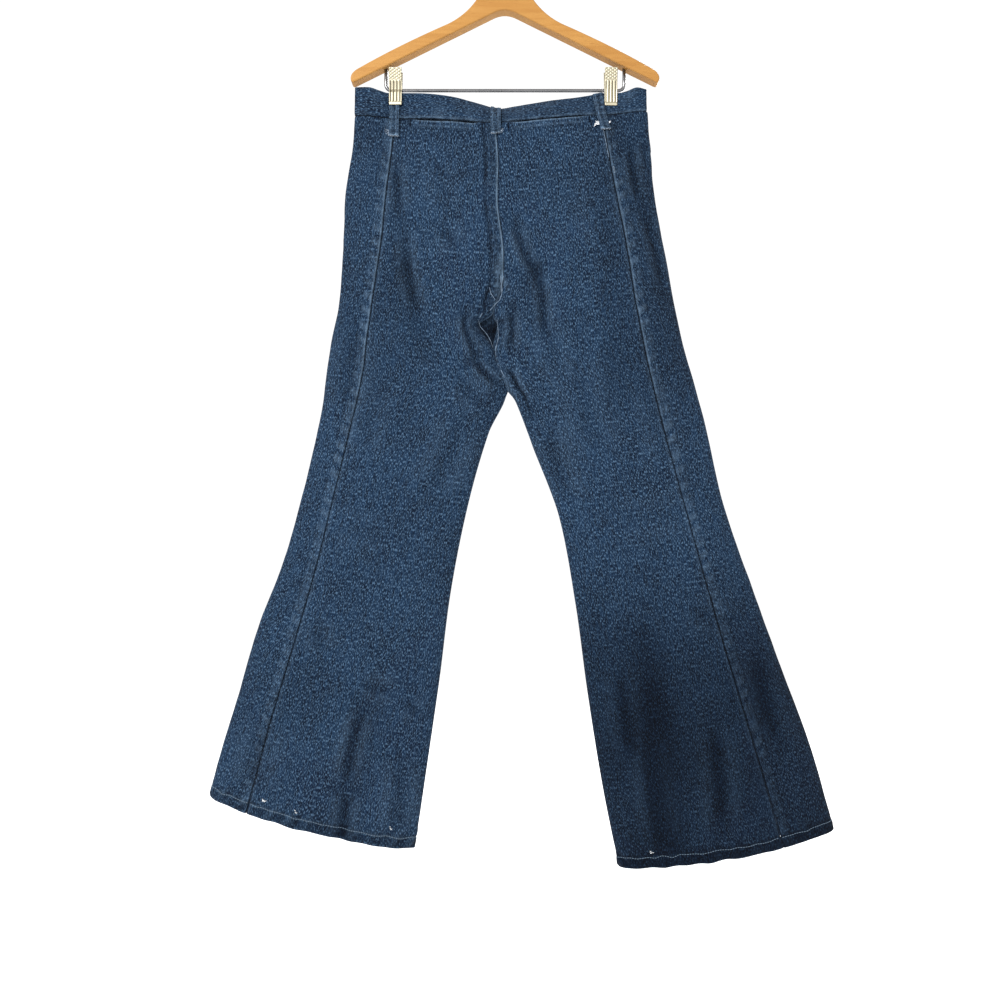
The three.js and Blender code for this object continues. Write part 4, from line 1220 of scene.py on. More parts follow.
@lru_cache(maxsize=None)
def loop_form(name):
    loop = next(item for item in LOOPS if item.name == name)
    seed = 200 + len(name) + int(loop.top_x)
    across = np.concatenate([[-1, -0.96, -0.9], np.linspace(-0.82, 0.82, 17), [0.9, 0.96, 1]])
    drops = np.concatenate([[-1, -0.985], np.linspace(-0.96, 0.9, 62), [0.93, 0.955, 0.975, 0.99, 1]])
    base = loop_point(loop, across[None, :] * LOOP_WIDTH / 2, drops[:, None])
    outward = outward_of(base, base - np.array([0.0, loop.face, 0.0]))
    u = np.broadcast_to(across[None, :], base.shape[:2])
    v = np.broadcast_to(drops[:, None], base.shape[:2])
    ridges = bell(np.abs(u) - 0.52, 0.15)
    puckers = wander(abs(seed), 5, 13, 40 * v + 2 * u)
    foot = smooth((v - 0.8) / 0.08)
    height = 0.4 * ridges * (1 + 0.4 * puckers) - 0.3 * bell(u, 0.18) + 0.7 * foot + 0.15 * puckers
    worn = loop.face == BACK
    wear = 0.1 + 0.3 * ridges + 0.08 * puckers + (0.5 if worn else 0.2) * smooth((v - 0.86) / 0.08)
    wear = wear + 0.25 * smooth((-0.94 - v) / 0.05) + 0.2 * smooth((np.abs(u) - 0.86) / 0.1)
    # The shade term puts painted shade in the loop's sunken middle and a painted shadow line at the top of
    # the turned foot; the raised ridges and foot take less of it, a painted highlight
    shade = 0.12 + 0.3 * bell(u, 0.3) - 0.2 * ridges + 0.35 * bell(v - 0.78, 0.05) - 0.3 * foot
    form = SimpleNamespace(loop=loop, u=u, v=v, outward=outward)
    form.points = base + outward * height[..., None]
    form.wear, form.shade = np.clip(wear, 0, 1), np.clip(shade, 0, 1)
    return form


def loop_piece(name):
    form = loop_form(name)
    tall = BAND_HEIGHT + form.loop.foot
    distance = np.minimum((1 - np.abs(form.u)) * LOOP_WIDTH / 2, (1 - np.abs(form.v)) * tall / 2)
    half = LOOP_WALL / 2 * rounded(distance, 1.0)
    shape = shell(form.points, form.outward, half, -half)
    across, down = form.u * LOOP_WIDTH / 2 * MM, form.v * tall / 2 * MM
    uv = np.stack([across + WEAVE_SHIFT["loop"], down + form.loop.top_x * 0.01], axis=-1)
    marks = cloth_marks(form.wear, form.shade, layers=1)
    piece = cloth_piece(name, shape, uv, marks)
    return piece


def allowance_shape():
    """The pressed seam allowance inside the centre back, down to where the legs part."""
    sides = {side: panel_form(side, False) for side in SIDES}
    low = float(np.interp(LEGS_PART, sides["left"].down[:, 0], sides["left"].rows))
    along = np.linspace(2, low, 150)[:, None]
    reach = np.array([0.3, 2.0, 4.0, 6.5, 9.0, 11.0, 12.5])
    grids = []
    for side, away in (("left", reach[::-1]), ("right", reach)):
        grids.append(sample(sides[side], along, away[None, :]))
    points, outward = (np.concatenate([grid[k] for grid in grids], axis=1) for k in (0, 1))
    depth = 9 * pit_share(points[..., 0], points[..., 2]) * bell(points[..., 0] - PIT.x, 16)
    points = points + outward * -(WALL / 2 + 0.9 + depth)[..., None]
    half = OVERLAY_WALL / 2
    return shell(points, outward, half, -half), points


def allowance_piece():
    shape, points = allowance_shape()
    x, z = points[..., 0], points[..., 2]
    uv = np.stack([x * MM + WEAVE_SHIFT["allowance"], z * MM], axis=-1)
    pit = pit_share(x, z)
    knot = bell(x - PIT_KNOT.x, 8) * bell(z - PIT_KNOT.z, 7)
    # The strip inside takes painted shade, darkest at the pit; the small knot above it is only a lighter
    # patch with less shade and some wear
    shade = np.clip(0.55 + pit - 0.7 * knot, 0, 1)
    marks = cloth_marks(0.3 * knot, shade, layers=1)
    piece = add_piece("cloth_back_allowance", shape, denim_finish(), doubled(uv), marks)
    return piece


def facing_piece(pocket):
    """The strip of dark drill that closes a pocket opening from inside."""
    form = panel_form(pocket.side, False)
    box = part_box(f"pocket_facing_{pocket.side}")
    reach = np.linspace(box[0].x, box[1].x, 60) / MM
    fall = np.linspace(0.6, (box[1].z - box[0].z) / MM - 14, 18)
    away = away_at_x(form, reach)
    points, outward = sample(form, fall[:, None], away[None, :])
    points = points * np.array([1, 1, 0]) + np.array([0, 0, 1]) * sample(form, 0.0, away)[0][None, :, 2:]
    points[..., 2] -= fall[:, None] - 1.4
    inside = -(WALL / 2 + SEAM_GAP + 0.9)
    shape = shell(points, outward, inside, inside - OVERLAY_WALL)
    uv = np.stack(np.broadcast_arrays(reach[None, :] * MM, fall[:, None] * MM), axis=-1)
    name = f"pocket_facing_{pocket.side}"
    marks = cloth_marks(0 * points[..., 0], 0 * points[..., 0], layers=1)
    piece = add_piece(f"cloth_{name}", shape, facing_finish(), doubled(uv), marks, [name])
    return piece


FLY = SimpleNamespace(width=46.0, length=168.0, turns_at=0.72, edge=3.2)


def fly_width(share):
    """Width of the fly's flap down its length: even, then rounding in to the centre like a J."""
    s = np.clip((share - FLY.turns_at) / (1 - FLY.turns_at), 0, 1)
    return mix(FLY.edge, FLY.width, np.sqrt(1 - s**2.2))


def fly_flap_piece():
    form = panel_form("left", True)
    across = np.concatenate([[0, 0.02, 0.05], np.linspace(0.09, 0.91, 24), [0.95, 0.98, 1]])
    share = np.concatenate([[0, 0.004, 0.01], np.linspace(0.02, 0.98, 84), [0.988, 0.995, 1]])
    away = 0.4 + across[None, :] * (fly_width(share)[:, None] - 0.4)
    along = 1.5 + share[:, None] * FLY.length + 0 * away
    points, outward = sample(form, along, away, from_last=True)
    distance = np.minimum(across, 1 - across)[None, :] * fly_width(share)[:, None]
    distance = np.minimum(distance, (np.minimum(share, 1 - share) * FLY.length)[:, None])
    middle = WALL / 2 + SEAM_GAP + OVERLAY_WALL / 2
    half = OVERLAY_WALL / 2 * rounded(distance, 0.9)
    puff = 0.35 * smooth(distance / 3) + 0.18 * wander(301, 10, 30, away, along) * smooth(distance / 4)
    shape = shell(points, outward, middle + half + puff, middle - half)
    wear = 0.5 * (1 - smooth(distance / 1.8)) + 0.25 * bell(across[None, :] - 1, 0.03)
    shade = 0.2 * bell(distance - 4.5, 1.5)
    uv = np.stack([away, along], axis=-1) * MM + WEAVE_SHIFT["flap"]
    marks = cloth_marks(np.clip(wear, 0, 1), shade, layers=1)
    piece = cloth_piece("fly_flap", shape, uv, marks)
    return piece


def inside_line(along, away, deep):
    """Points just inside the centre front; away is negative on the left panel."""
    left = sample(panel_form("left", True), along, np.maximum(-away, 0), from_last=True)
    right = sample(panel_form("right", True), along, np.maximum(away, 0), from_last=True)
    on_left = (np.broadcast_to(away, np.broadcast(along, away).shape) < 0)[..., None]
    points, outward = (np.where(on_left, left[k], right[k]) for k in (0, 1))
    return points + outward * deep, outward


ZIP = SimpleNamespace(top=4, foot=160, near=1.2, far=13, tape=0.7, pitch=1.05, tooth_out=0.55)
BRICK = np.array([[x, y, z] for x in (-1, 1) for y in (-1, 1) for z in (-1, 1)], float)
BRICK_FACES = np.array([
    [0, 1, 3, 2], [4, 6, 7, 5], [0, 4, 5, 1], [2, 3, 7, 6], [0, 2, 6, 4], [1, 5, 7, 3],
])


def zip_pieces():
    """The closed zip behind the fly: two tapes, their teeth and the slider at the top."""
    along = np.linspace(ZIP.top, ZIP.foot, 80)
    deep = -(WALL / 2 + SEAM_GAP + OVERLAY_WALL / 2)
    tapes = []
    for away in (np.linspace(-ZIP.far, -ZIP.near, 9), np.linspace(ZIP.near, ZIP.far, 9)):
        points, outward = inside_line(along[:, None], away[None, :], deep)
        tapes.append(shell(points, outward, ZIP.tape / 2, -ZIP.tape / 2))
    tape_finish = thread_finish("zip_tape", (0.05, 0.06, 0.09))
    tape = add_piece("zip_tape", joined(tapes), tape_finish, replaces=["fly_zip"])
    teeth = []
    for k, place in enumerate(np.arange(ZIP.top + 4, ZIP.foot - 2, ZIP.pitch)):
        away = ZIP.tooth_out if k % 2 else -ZIP.tooth_out
        spot, _ = inside_line(np.array([place]), np.array([away]), deep - 0.9)
        teeth.append((spot + BRICK * np.array([1.25, 0.6, 0.36]), [BRICK_FACES]))
    slider, _ = inside_line(np.array([9.0]), np.array([0.3]), deep - 1.6)
    pull = slider + np.array([0.0, -1.9, -9.0])
    teeth.append((slider + BRICK * np.array([4.0, 1.0, 4.6]), [BRICK_FACES]))
    teeth.append((pull + BRICK * np.array([2.6, 0.5, 9.0]), [BRICK_FACES]))
    add_piece("zip_teeth", joined(teeth), brass(), smooth_faces=False)


# The button's and the buttonhole's place on the left end of the band
BUTTON = SimpleNamespace(turn=1.985, up=0.55)
# Radius and height of the button's outline: shank, rolled rim, dish, raised ring and small dome
BUTTON_PROFILE = [
    (0.01, 0), (3.8, 0), (4.0, 0.3), (4.0, 1.3), (4.4, 1.6), (7.4, 1.6), (8.2, 1.9), (8.5, 2.5),
    (8.4, 3.1), (8.0, 3.7), (7.4, 4.1), (6.8, 4.2), (6.3, 4.0), (5.9, 3.6), (5.2, 3.4), (4.4, 3.4),
    (3.9, 3.7), (3.4, 3.8), (2.9, 3.6), (2.5, 3.3), (2.0, 3.4), (1.4, 3.8), (0.7, 4.0), (0.01, 4.05),
]


def button_pieces():
    spot = band("left", BUTTON.turn, BUTTON.up)
    spot[1] += BAND_WALL * 1.5 + SEAM_GAP * 2
    points, quads = lathe(BUTTON_PROFILE, 48)
    turned = np.stack([points[:, 0], points[:, 2], -points[:, 1]], axis=-1) + spot
    radius = np.hypot(points[:, 0], points[:, 1])
    recess = bell(radius - 4.8, 1.0) + bell(radius - 2.3, 0.5)
    marks = {"shade": np.clip(0.6 * recess * (points[:, 2] > 3), 0, 1)}
    add_piece("button", (turned, [quads]), brass(), marks=marks, replaces=["waist_button"])


def stitches(points, outward, pitch=3.3, length=2.5, radius=0.32, sides=6):
    """A row of stitches along a line, each a short bent thread lying on the cloth."""
    run = path_run(points)
    parts = []
    bend = np.array([-0.15, 0.75, 1.0, 0.75, -0.15]) * radius
    thickness = np.array([0.5, 1, 1, 1, 0.5]) * radius
    for k in range(int(run[-1] / pitch)):
        at = (k + 0.5) * pitch + np.linspace(-length / 2, length / 2, 5)
        away = unit(along_path(at, run, outward))
        path = along_path(at, run, points) + away * bend[:, None]
        parts.append(tube(path, thickness, sides, up=away[2]))
    return parts


def bar_tack(middle, outward, lengthways, length, width, radius=0.3):
    """A dense zigzag of thread across a short line."""
    lengthways = unit(np.asarray(lengthways, float))
    sideways = unit(np.cross(outward, lengthways))
    count = max(6, int(length / 0.55))
    share = np.linspace(-0.5, 0.5, count * 2 + 1)
    zigzag = np.where(np.arange(len(share)) % 2 == 0, -0.5, 0.5)
    path = middle + lengthways * (share * length)[:, None] + sideways * (zigzag * width)[:, None]
    return tube(path + outward * radius * 0.6, radius, 6, up=outward)


def tack_on(form, along, away, size, over=WALL / 2, radius=0.3, from_last=False):
    """A bar tack on a panel, set down the line through three distances from the panel's top."""
    points, outward = sample(form, np.array(along), away, from_last)
    return bar_tack(points[1] + outward[1] * over, outward[1], points[2] - points[0], *size, radius)


def line_down(form, away, start, end):
    """A line on the cloth at one distance from the panel's first edge."""
    along = np.linspace(start, end, max(4, int((end - start) / 4)))
    points, outward = sample(form, along, np.full(len(along), float(away)))
    return points + outward * WALL / 2, outward


# Bleached lines along the folded edges of the centre seam, the pit at the crotch and the outseam
WORN_EDGES = records("name x z", [
    ("seam_end", -6.1, -502.6), ("seam_end", -5.7, -515.4), ("seam_end", -4.8, -528.2),
    ("seam_end", -7.4, -535.3), ("seam_end", -13.6, -540.7), ("seam_end", -21.3, -549.5),
    ("seam_twin", -2.3, -502.6), ("seam_twin", -4.8, -514.0), ("seam_twin", -3.6, -523.9),
    ("left_lip", -32.1, -553.3), ("left_lip", -37.2, -562.2), ("left_lip", -35.5, -569.3),
    ("left_lip", -25.1, -581.3), ("left_lip", -19.5, -591.4), ("left_lip", -17.5, -599.2),
    ("right_lip", -11.4, -560.8), ("right_lip", -9.9, -573.6), ("right_lip", -9.2, -586.4),
    ("right_lip", -13.1, -601.4), ("right_lip", -13.1, -611.7), ("right_lip", -9.9, -624.3),
    ("right_lip", -3.6, -635.8), ("right_lip", 2.8, -651.0),
    ("tuck", -22.0, -518.0), ("tuck", -19.9, -526.7), ("tuck", -13.6, -535.3),
    ("right_outseam", 139.0, -292.2), ("right_outseam", 142.6, -312.0), ("right_outseam", 146.2, -332.0),
])


def worn_edge(corners):
    """A fine line through the given X and Z, laid on the back face of the cloth."""
    corners = np.array(corners)
    reach = path_run(corners)
    along = np.linspace(0, reach[-1], max(4, int(reach[-1] / 2)))
    x, z = along_path(along, reach, corners).T
    forms = [panel_form(side, on_front) for side in SIDES for on_front in (False, True)]
    places = np.concatenate([form.points[form.outward[..., 1] < -0.1] for form in forms])
    apart = np.hypot(places[:, 0] - x[:, None], places[:, 2] - z[:, None])
    near = np.argsort(apart, axis=1)[:, :5]
    y = places[near, 1].min(axis=1) - WALL / 2 - 0.2
    y = np.convolve(np.pad(y, 2, mode="edge"), np.full(5, 0.2), mode="valid")
    radius = 0.3 + 0.12 * wander(int(abs(corners[0, 0]) * 10), 6, 20, along)
    return tube(np.stack([x, y, z], axis=1), radius, 6, up=(0, -1, 0))


def sewing_pieces():
    """All the machine sewing that shows, in one mesh for each kind of thread."""
    pale, blue, dark = [], [], []
    for side in SIDES:
        for on_front in (False, True):
            form = panel_form(side, on_front)
            away = np.linspace(1.5, form.total[-1] - 1.5, 150)
            up = HEM_HEIGHT - 0.8 + 0.8 * wander(form.seed + 9, 16, 50, away)
            points, outward = sample(form, form.length - up, away)
            pale += stitches(points + outward * WALL / 2, outward, pitch=3.6, length=2.9, radius=0.42)
    form = band_form()
    for up in BAND_STITCHES:
        row = int(np.argmin(np.abs(form.ups - up)))
        points = form.points[row] + form.outward[row] * BAND_WALL / 2
        blue += stitches(points[3:-3], form.outward[row][3:-3], radius=0.26)
    left_back = panel_form("left", False)
    for away in SEAT_STITCHES.away:
        line = line_down(left_back, away, SEAT_STITCHES.top, SEAT_STITCHES.foot)
        blue += stitches(*line, radius=0.26)
    flap = panel_form("left", True)
    share = np.linspace(0.0, 0.985, 90)
    over = WALL / 2 + SEAM_GAP + OVERLAY_WALL + 0.35
    for inset in (4.0, 10.0):
        away = np.maximum(fly_width(share) - inset, 1.2)
        points, outward = sample(flap, 2 + share * (FLY.length - inset), away, from_last=True)
        blue += stitches(points + outward * over, outward, radius=0.28)
    for loop in LOOPS:
        form = loop_form(loop.name)
        for column in (6, 16):
            points = form.points[1:-4, column] + form.outward[1:-4, column] * LOOP_WALL / 2
            blue += stitches(points, form.outward[1:-4, column], radius=0.26, pitch=2.8, length=2.1)
        spot = form.points[-6, 11] + form.outward[-6, 11] * (LOOP_WALL / 2 + 0.2)
        blue.append(bar_tack(spot, form.outward[-6, 11], (1, 0, 0), LOOP_WIDTH * 0.82, 1.8))
    for pocket in POCKETS:
        panel = panel_form(pocket.side, False)
        for x in (pocket.from_x, pocket.to_x):
            dark.append(tack_on(panel, (1.5, 6.0, 10.0), away_at_x(panel, x), (9, 2)))
    worn = [tack_on(panel_form("right", True), (75.0, 80.0, 85.0), 2.8, (9, 2.6), radius=0.4)]
    for name in dict.fromkeys(spot.name for spot in WORN_EDGES):
        worn.append(worn_edge([(spot.x, spot.z) for spot in WORN_EDGES if spot.name == name]))
    foot = FLY.length - np.array([12.0, 6.0, 0.0])
    blue.append(tack_on(flap, foot, 5.0, (10, 2), over=over + 0.1, from_last=True))
    blue += buttonhole_parts()
    colors = bpy.context.scene.jeans_sewing
    threads = (
        ("sewing_hems", pale, "pale_thread"),
        ("sewing_blue", blue, "blue_thread"),
        ("worn_edges", worn, "worn_edge"),
        ("sewing_tacks", dark, "dark_thread"),
    )
    for name, parts, setting in threads:
        finish = thread_finish(setting, tuple(getattr(colors, setting)))
        add_piece(name, joined(parts), finish)


def buttonhole_parts():
    """The sewn ends of the buttonhole that show beside the button."""
    spot = band_point(-BUTTON.turn, BUTTON.up)
    parts = []
    for x in np.arange(-13.5, 13.6, 0.75):
        if abs(x) < 8:
            continue
        surface = spot + np.array([x, BAND_WALL / 2 + 0.35, 0])
        path = surface + np.array([0, 0, 1]) * np.linspace(-1.7, 1.7, 5)[:, None]
        parts.append(tube(path, 0.3, 6, up=(0, 1, 0), taper=0.5))
    return parts


def loose_thread(start, heading, outward, length, seed, radius=0.22):
    """A curl of thread that lies loosely on the cloth."""
    draw = np.random.default_rng(seed)
    share = np.linspace(0, 1, 22)
    sideways = unit(np.cross(outward, heading))
    curl = 0.22 * length * np.sin(share * draw.uniform(5, 9) + draw.uniform(0, 6)) * share**0.7
    rise = 0.5 + 0.16 * length * np.sin(np.pi * share) * draw.uniform(0.3, 1)
    path = start + heading * (share * length)[:, None] + sideways * curl[:, None] + outward * rise[:, None]
    return tube(path, radius * (1 - 0.5 * share), 5, up=outward)


def loose_thread_pieces():
    """White thread ends at two loops and the hems, and the frayed feet of the loops."""
    white, frayed = [], []
    tails = records("loop column row out down length count", [
        ("belt_loop_back_left", 2, -8, -1.0, 0.6, 7, 5),
        ("belt_loop_back_centre", 20, -6, 1.0, 0.5, 5, 4),
    ])
    for tail in tails:
        form = loop_form(tail.loop)
        for k in range(tail.count):
            start = form.points[tail.row + k // 2 - 2, tail.column]
            heading = unit(np.array([tail.out, 0, -tail.down * (k - 1)]))
            outward = form.outward[tail.row, tail.column]
            frayed.append(loose_thread(start, heading, outward, tail.length - 0.6 * k, 400 + k))
    for loop in LOOPS[:3]:
        form = loop_form(loop.name)
        draw = np.random.default_rng(430 + len(loop.name))
        for _ in range(26):
            column = draw.integers(1, 22)
            start = form.points[-1, column] + form.outward[-1, column] * draw.uniform(-0.6, 0.8)
            heading = unit(np.array([draw.normal(0, 0.5), 0, -1]))
            length, seed = draw.uniform(0.8, 2.2), draw.integers(9999)
            frayed.append(loose_thread(start, heading, form.outward[-1, column], length, seed, 0.14))
    right = loop_form("belt_loop_back_right")
    for k in range(7):
        start = right.points[-16 + k % 3, 1] + np.array([-0.5, -0.4, 0.4 * k - 1.5])
        heading = unit(np.array([-1.0, 0, 0.12 * (k - 3)]))
        white.append(loose_thread(start, heading, right.outward[-12, 1], 8 - 0.5 * k, 450 + k, 0.5))
    for k in range(3):
        start = right.points[-15, -2] + np.array([0.3, -0.4, 0.8 * k])
        heading = unit(np.array([1.0, 0, 0.3]))
        white.append(loose_thread(start, heading, right.outward[-12, -2], 2.5, 460 + k, 0.4))
    spots = records("side x along_up length count", [
        ("left", -336, 25, 4, 5),
        ("left", -293, 21.5, 3, 3),
        ("left", -160, 24.5, 3, 3),
        ("right", 205, 21, 4, 4),
    ])
    for spot in spots:
        form = panel_form(spot.side, False)
        if spot.x < form.points[-1, :, 0].min():
            form = panel_form(spot.side, True)
        row = int(np.argmin(np.abs(form.length - form.rows - spot.along_up)))
        column = int(np.argmin(np.abs(form.points[row, :, 0] - spot.x) + 9 * (form.points[row, :, 1] > 0)))
        draw = np.random.default_rng(470 + spot.count)
        for _ in range(spot.count):
            start = form.points[row, column] + form.outward[row, column] * (WALL / 2)
            start = start + np.array([draw.normal(0, 1.4), 0, draw.normal(0, 0.9)])
            heading = unit(np.array([draw.normal(), 0, 0.5 * draw.normal()]))
            length, seed = spot.length * draw.uniform(0.5, 1), draw.integers(9999)
            white.append(loose_thread(start, heading, form.outward[row, column], length, seed, 0.4))
    add_piece("thread_ends", joined(white), thread_finish("white_thread", (0.8, 0.82, 0.84)))
    add_piece("frayed_feet", joined(frayed), thread_finish("frayed_weft", (0.36, 0.42, 0.5)))


def quadratic(start, control, end, count):
    share = np.linspace(0, 1, count + 1)[:, None]
    start, control, end = np.array(start), np.array(control), np.array(end)
    return (1 - share) ** 2 * start + 2 * share * (1 - share) * control + share**2 * end


def arc(centre_x, centre_z, radius, start, end, count):
    angle = np.radians(np.linspace(start, end, count + 1))
    flat = [centre_x + radius * np.cos(angle), 0 * angle, centre_z + radius * np.sin(angle)]
    return np.stack(flat, axis=-1)


def wood_outline():
    """The hanger's outline in X and Z, once round."""
    w = WOOD

    def edge(x, above=0.0):
        """A point of the arm over its lower edge."""
        return x, w.apex_z - w.slope * x + above

    tall = w.arm_height
    start = edge(w.apex_round)
    turn_in = edge(w.half_span - w.tip_round)
    tip = edge(w.half_span, tall / 2)
    tip_top = edge(w.half_span - 2 * w.tip_round, tall)
    shoulder = edge(w.shoulder_x, tall)
    rising = (w.shoulder_x * 0.42, mix(w.apex_z, w.top_z, 0.45))
    neck = (w.neck_half_width - 4, w.top_z)
    curves = [
        ((0, w.apex_z - 4), (w.apex_round / 2, w.apex_z - 4), start, 8),
        (start, edge(110), turn_in, 24),
        (turn_in, edge(w.half_span), tip, 8),
        (tip, edge(w.half_span, tall), tip_top, 8),
        (tip_top, edge((w.half_span + w.shoulder_x) / 2, tall + w.arm_swell), shoulder, 24),
        (shoulder, edge(w.shoulder_x * 0.62, tall), rising, 16),
        (rising, (w.neck_half_width + 4, w.top_z), neck, 12),
    ]
    parts = [quadratic(*curve)[:-1] for curve in curves]
    right = np.concatenate(parts + [np.array([neck, (0, w.top_z)])])
    left = right[1:-1][::-1] * np.array([-1, 1])
    return np.concatenate([right, left])


def wood_piece():
    """The wooden hanger, with its edges rounded over."""
    outline = wood_outline()
    tangent = unit(np.roll(outline, -1, axis=0) - np.roll(outline, 1, axis=0))
    inward = np.stack([-tangent[:, 1], tangent[:, 0]], axis=-1)
    rings = []
    half = WOOD.depth / 2
    turns = np.radians(np.linspace(0, 90, 6))
    profile = [(WOOD.bevel * (1 - math.sin(a)), -half + WOOD.bevel * (1 - math.cos(a))) for a in turns]
    profile = profile + [(inset, -y) for inset, y in reversed(profile)]
    for inset, y in profile:
        flat = outline + inward * inset
        rings.append(np.stack([flat[:, 0], np.full(len(flat), y), flat[:, 1]], axis=-1))
    number, quads = grid_faces(len(rings), len(outline), closed=True)
    caps = np.stack([number[0, :-1], number[-1, :-1][::-1]])
    shape = (np.concatenate(rings), [quads[:, TURNED], caps])
    piece = add_piece("hanger_body", shape, wood_finish(), replaces=["hanger_wood"])
    piece.modifiers.new("flat faces", "WEIGHTED_NORMAL").keep_sharp = True


def wire_pieces():
    radius = HOOK.inner_radius + HOOK.wire
    ring = arc(0, -HOOK.inner_radius, radius, HOOK.join_angle, HOOK.tip_angle, 72)
    bend = quadratic((0, 0, HOOK.stem_bends), (0, 0, -44), ring[0], 16)
    stem = np.array([[0, 0, WOOD.top_z - HOOK.stem_sinks], [0, 0, WOOD.top_z]])
    hook_path = np.concatenate([stem, bend[:-1], ring])
    tip = hook_path[-1] + (hook_path[-1] - hook_path[-2]) * 0.2
    hook = tube(np.concatenate([hook_path, [tip]]), HOOK.wire, 20, taper=0.35)
    points, quads = lathe(FERRULE_PROFILE, 32)
    ferrule = (points + np.array([0, 0, WOOD.top_z + 0.2]), [quads])
    marks = plain_shade([hook, ferrule])
    add_piece("hook", joined([hook, ferrule]), chrome(), marks=marks, replaces=["hanger_hook"])
    top = WOOD.apex_z - WOOD.slope * BAR.half_span + BAR.sinks
    corner = BAR.half_span - BAR.corner
    path = np.concatenate([
        [[-BAR.half_span, 0, top]],
        arc(-corner, BAR.z + BAR.corner, BAR.corner, 180, 270, 12),
        arc(corner, BAR.z + BAR.corner, BAR.corner, 270, 360, 12),
        [[BAR.half_span, 0, top]],
    ])
    bar = tube(path, BAR.radius, 20)
    add_piece("bar", bar, chrome(), marks=plain_shade([bar]), replaces=["hanger_bar"])


def plain_shade(parts):
    return {"shade": np.zeros(sum(len(points) for points, _ in parts))}


def jaw_profile(lip_y, count):
    """A clip jaw's line in Y and Z, from the lip on the cloth up past the sleeve to the handle."""
    c = CLIP
    waist = c.sleeve_radius + SEAM_GAP + c.plate / 2
    lip = lip_y + c.plate / 2
    corners = np.array([
        (lip, -c.lip_drop), (lip, -c.lip_drop + c.lip_tall), (max(lip, waist), -5), (waist, 0),
        (waist + 1, 6), (c.handle_out + c.plate / 2, c.handle_rise),
    ], float)
    run = path_run(corners)
    at = np.linspace(0, run[-1], count)
    line = along_path(at, run, corners)
    for _ in range(6):
        line[1:-1] = (line[:-2] + 2 * line[1:-1] + line[2:]) / 4
    return line, at


def jaw_piece(side, face):
    """A plated jaw: a plain bright lip, lengthwise ribs, then rows of small bosses on the handle."""
    lip_y = CLIP.looped_lip if side == "left" and face == BACK else CLIP.far_lip
    line, at = jaw_profile(lip_y, 120)
    across = np.concatenate([[-1, -0.975], np.linspace(-0.94, 0.94, 58), [0.975, 1]])
    u = np.broadcast_to(across[None, :], (len(line), len(across)))
    y = face * np.broadcast_to(line[:, :1], u.shape)
    z = np.broadcast_to(line[:, 1:], u.shape)
    base = np.stack([CLIP_X[side] + u * CLIP.width / 2, y, BAR.z + z], axis=-1)
    outward = outward_of(base, base - np.array([0.0, face, 0.0]))
    above_lip = z + CLIP.lip_drop - CLIP.plain_lip
    ribbed = smooth(above_lip / 1.2) * (1 - smooth((z - CLIP.ribs_end) / 1.5))
    rib_wave = np.cos(np.pi * u * 4)
    knurled = smooth((z - CLIP.knurl_from) / 1.5) * (1 - smooth((z - CLIP.knurl_to) / 0.8))
    boss_wave = np.cos(np.pi * u * 3) * np.cos(2 * np.pi * (z - 13) / 4.2)
    lip_roll = bell(z + CLIP.lip_drop - 1.2, 1.3)
    sides_down = smooth((np.abs(u) - 0.88) / 0.12)
    height = 0.45 * ribbed * rib_wave + 0.55 * knurled * boss_wave + 0.25 * lip_roll - 0.5 * sides_down
    # Painted shade in the grooves between the ribs and between the bosses, and along the step where the ribs
    # start above the plain lip
    shade = 1.2 * ribbed * smooth(-rib_wave - 0.2) + 0.8 * knurled * smooth(-0.1 - boss_wave)
    shade = shade + 0.8 * bell(above_lip, 0.5)
    ends = np.minimum(at, at[-1] - at)[:, None]
    edge = np.minimum((1 - np.abs(u)) * CLIP.width / 2, ends)
    half = CLIP.plate / 2 * rounded(edge, 0.7)
    shape = shell(base, outward, half + height, -half)
    # The inner face of the plate takes an even painted shade
    marks = {"shade": np.clip(np.concatenate([shade.ravel(), 0.3 + 0 * shade.ravel()]), 0, 1)}
    name = "back" if face == BACK else "front"
    plate, jaw = f"clip_{side}_{name}_plate", f"clip_{side}_{name}_jaw"
    add_piece(plate, shape, clip_metal(), marks=marks, replaces=[jaw])


def clip_metal():
    # The dark colour is the painted shade of the jaws' grooves
    return metal_finish("clip_plate", (0.5, 0.46, 0.34), (0.02, 0.014, 0.008), 0.42)


def sleeve_piece(side):
    """The spring on the bar between the jaws: close turns of wire and its two ends."""
    radius, wire = CLIP.sleeve_radius - 0.45, 0.45
    half = CLIP.sleeve_length / 2
    turns = int(2 * half / (2 * wire))
    angle = np.linspace(0, 2 * np.pi * turns, turns * 20)
    x = np.linspace(-half + wire, half - wire, len(angle))
    path = np.stack([CLIP_X[side] + x, radius * np.cos(angle), BAR.z + radius * np.sin(angle)], axis=-1)
    shape = tube(path, wire * 0.94, 8, up=(1, 0, 0))
    marks = plain_shade([shape])
    add_piece(
        f"clip_{side}_spring", shape, chrome(),
        marks=marks, replaces=[f"clip_{side}_sleeve"],
    )


def colour(name, description, default):
    return FloatVectorProperty(
        name=name, description=description, subtype="COLOR", size=3, min=0, max=1, default=default,
    )


def length(name, description, default, low, high):
    return FloatProperty(
        name=name, description=description, default=default, min=low, max=high, precision=4, unit="LENGTH",
    )


def power(name, description, default):
    return FloatProperty(name=name, description=description, default=default, min=0, unit="POWER")


